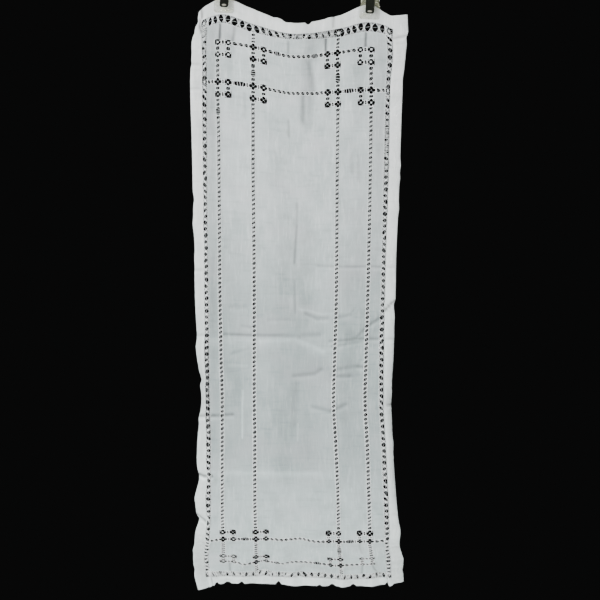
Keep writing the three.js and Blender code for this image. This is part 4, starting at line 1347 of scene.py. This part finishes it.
# %% Clear plastic and dark steel
plastic = Finish("clear_plastic")
place = plastic.node("ShaderNodeTexCoord", output=3)
cloudy = plastic.noise(place, 90, 3)
scuffs = plastic.noise(plastic.stretched(place, (120, 120, 900)), 1, 2)
plastic.set(
    Base_Color=plastic.blend(plastic.ramp(cloudy, 0.4, 0.62), (0.16, 0.17, 0.11, 1), (0.56, 0.58, 0.42, 1)),
    Roughness=0.08 + plastic.ramp(scuffs, 0.5, 0.9) * 0.2,
    Alpha=0.13 + plastic.ramp(cloudy, 0.45, 0.7) * 0.27,
)
plastic.shader.inputs["IOR"].default_value = 1.5
plastic.bump(cloudy, 0.6, 0.004)

steel = Finish("dark_steel")
place = steel.node("ShaderNodeTexCoord", output=3)
brushed = steel.noise(steel.stretched(place, (1500, 300, 30)), 1, 3)
# A small painted highlight, an oval glint, sits just above each spring's end. The clips are tilted, so
# that end lies on a slope.
SLOPE, SPRING_END = 0.0447, 0.0287
OVAL_SHIFT, OVAL_FROM_MIDDLE, OVAL_ABOVE_END = 0.0011, 0.1294, 0.0038
OVAL_HALF_WIDTH, OVAL_HALF_HEIGHT = 0.0042, 0.0018
across = steel.node("ShaderNodeSeparateXYZ", inputs={0: place})
height = steel.node("ShaderNodeSeparateXYZ", inputs={0: place}, output=2)
above_end = height + across * SLOPE + SPRING_END
off_x = ((across + OVAL_SHIFT).math("ABSOLUTE") - OVAL_FROM_MIDDLE) * (1 / OVAL_HALF_WIDTH)
off_z = (above_end - OVAL_ABOVE_END) * (1 / OVAL_HALF_HEIGHT)
painted_glint = steel.ramp(off_x * off_x + off_z * off_z, 1.2, 0.5)
steel_colour = steel.blend(brushed, (0.012, 0.014, 0.012, 1), (0.05, 0.056, 0.045, 1))
# The dark brushed steel, with the painted glint in pale cream
steel.set(
    Base_Color=steel.blend(painted_glint, steel_colour, (0.8, 0.78, 0.66, 1)),
    Roughness=0.26 + brushed * 0.2,
)
steel.shader.inputs["Metallic"].default_value = 1.0
steel.bump(brushed, 0.15, 0.0003)
print("finishes", [finish.material.name for finish in (linen, thread_finish, plastic, steel)])

# %% [markdown]
# ## Put it together
#
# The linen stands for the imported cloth, and the threads are pieces on it. The clips keep their packed
# shapes and get their own finishes.

# %% Finishes, slots and bodies
thread_pieces = [border_bundles, ladder_bundles, tying_threads, wheels, hemstitches]
for piece, finish in [(runner, linen)] + [(thread, thread_finish) for thread in thread_pieces]:
    piece.data.materials.append(finish.material)
    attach(piece, "root")
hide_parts("runner_cloth")
for name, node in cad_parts.items():
    finish = steel if name.endswith("spring") else plastic if name.endswith("jaw") else None
    if finish:
        node.data.materials.clear()
        node.data.materials.append(finish.material)

# %% Floor
FLOOR_BELOW = 1.45
FLOOR_HALF = 1.7
corners = np.array([[-1, -1, 0], [1, -1, 0], [1, 1, 0], [-1, 1, 0]])
floor = mesh_piece("floor", corners * FLOOR_HALF - [0, 0, FLOOR_BELOW], np.array([[0, 1, 2, 3]]))
pale = Finish("pale_floor")
pale.set(Base_Color=(0.72, 0.72, 0.7, 1), Roughness=0.8)
floor.data.materials.append(pale.material)
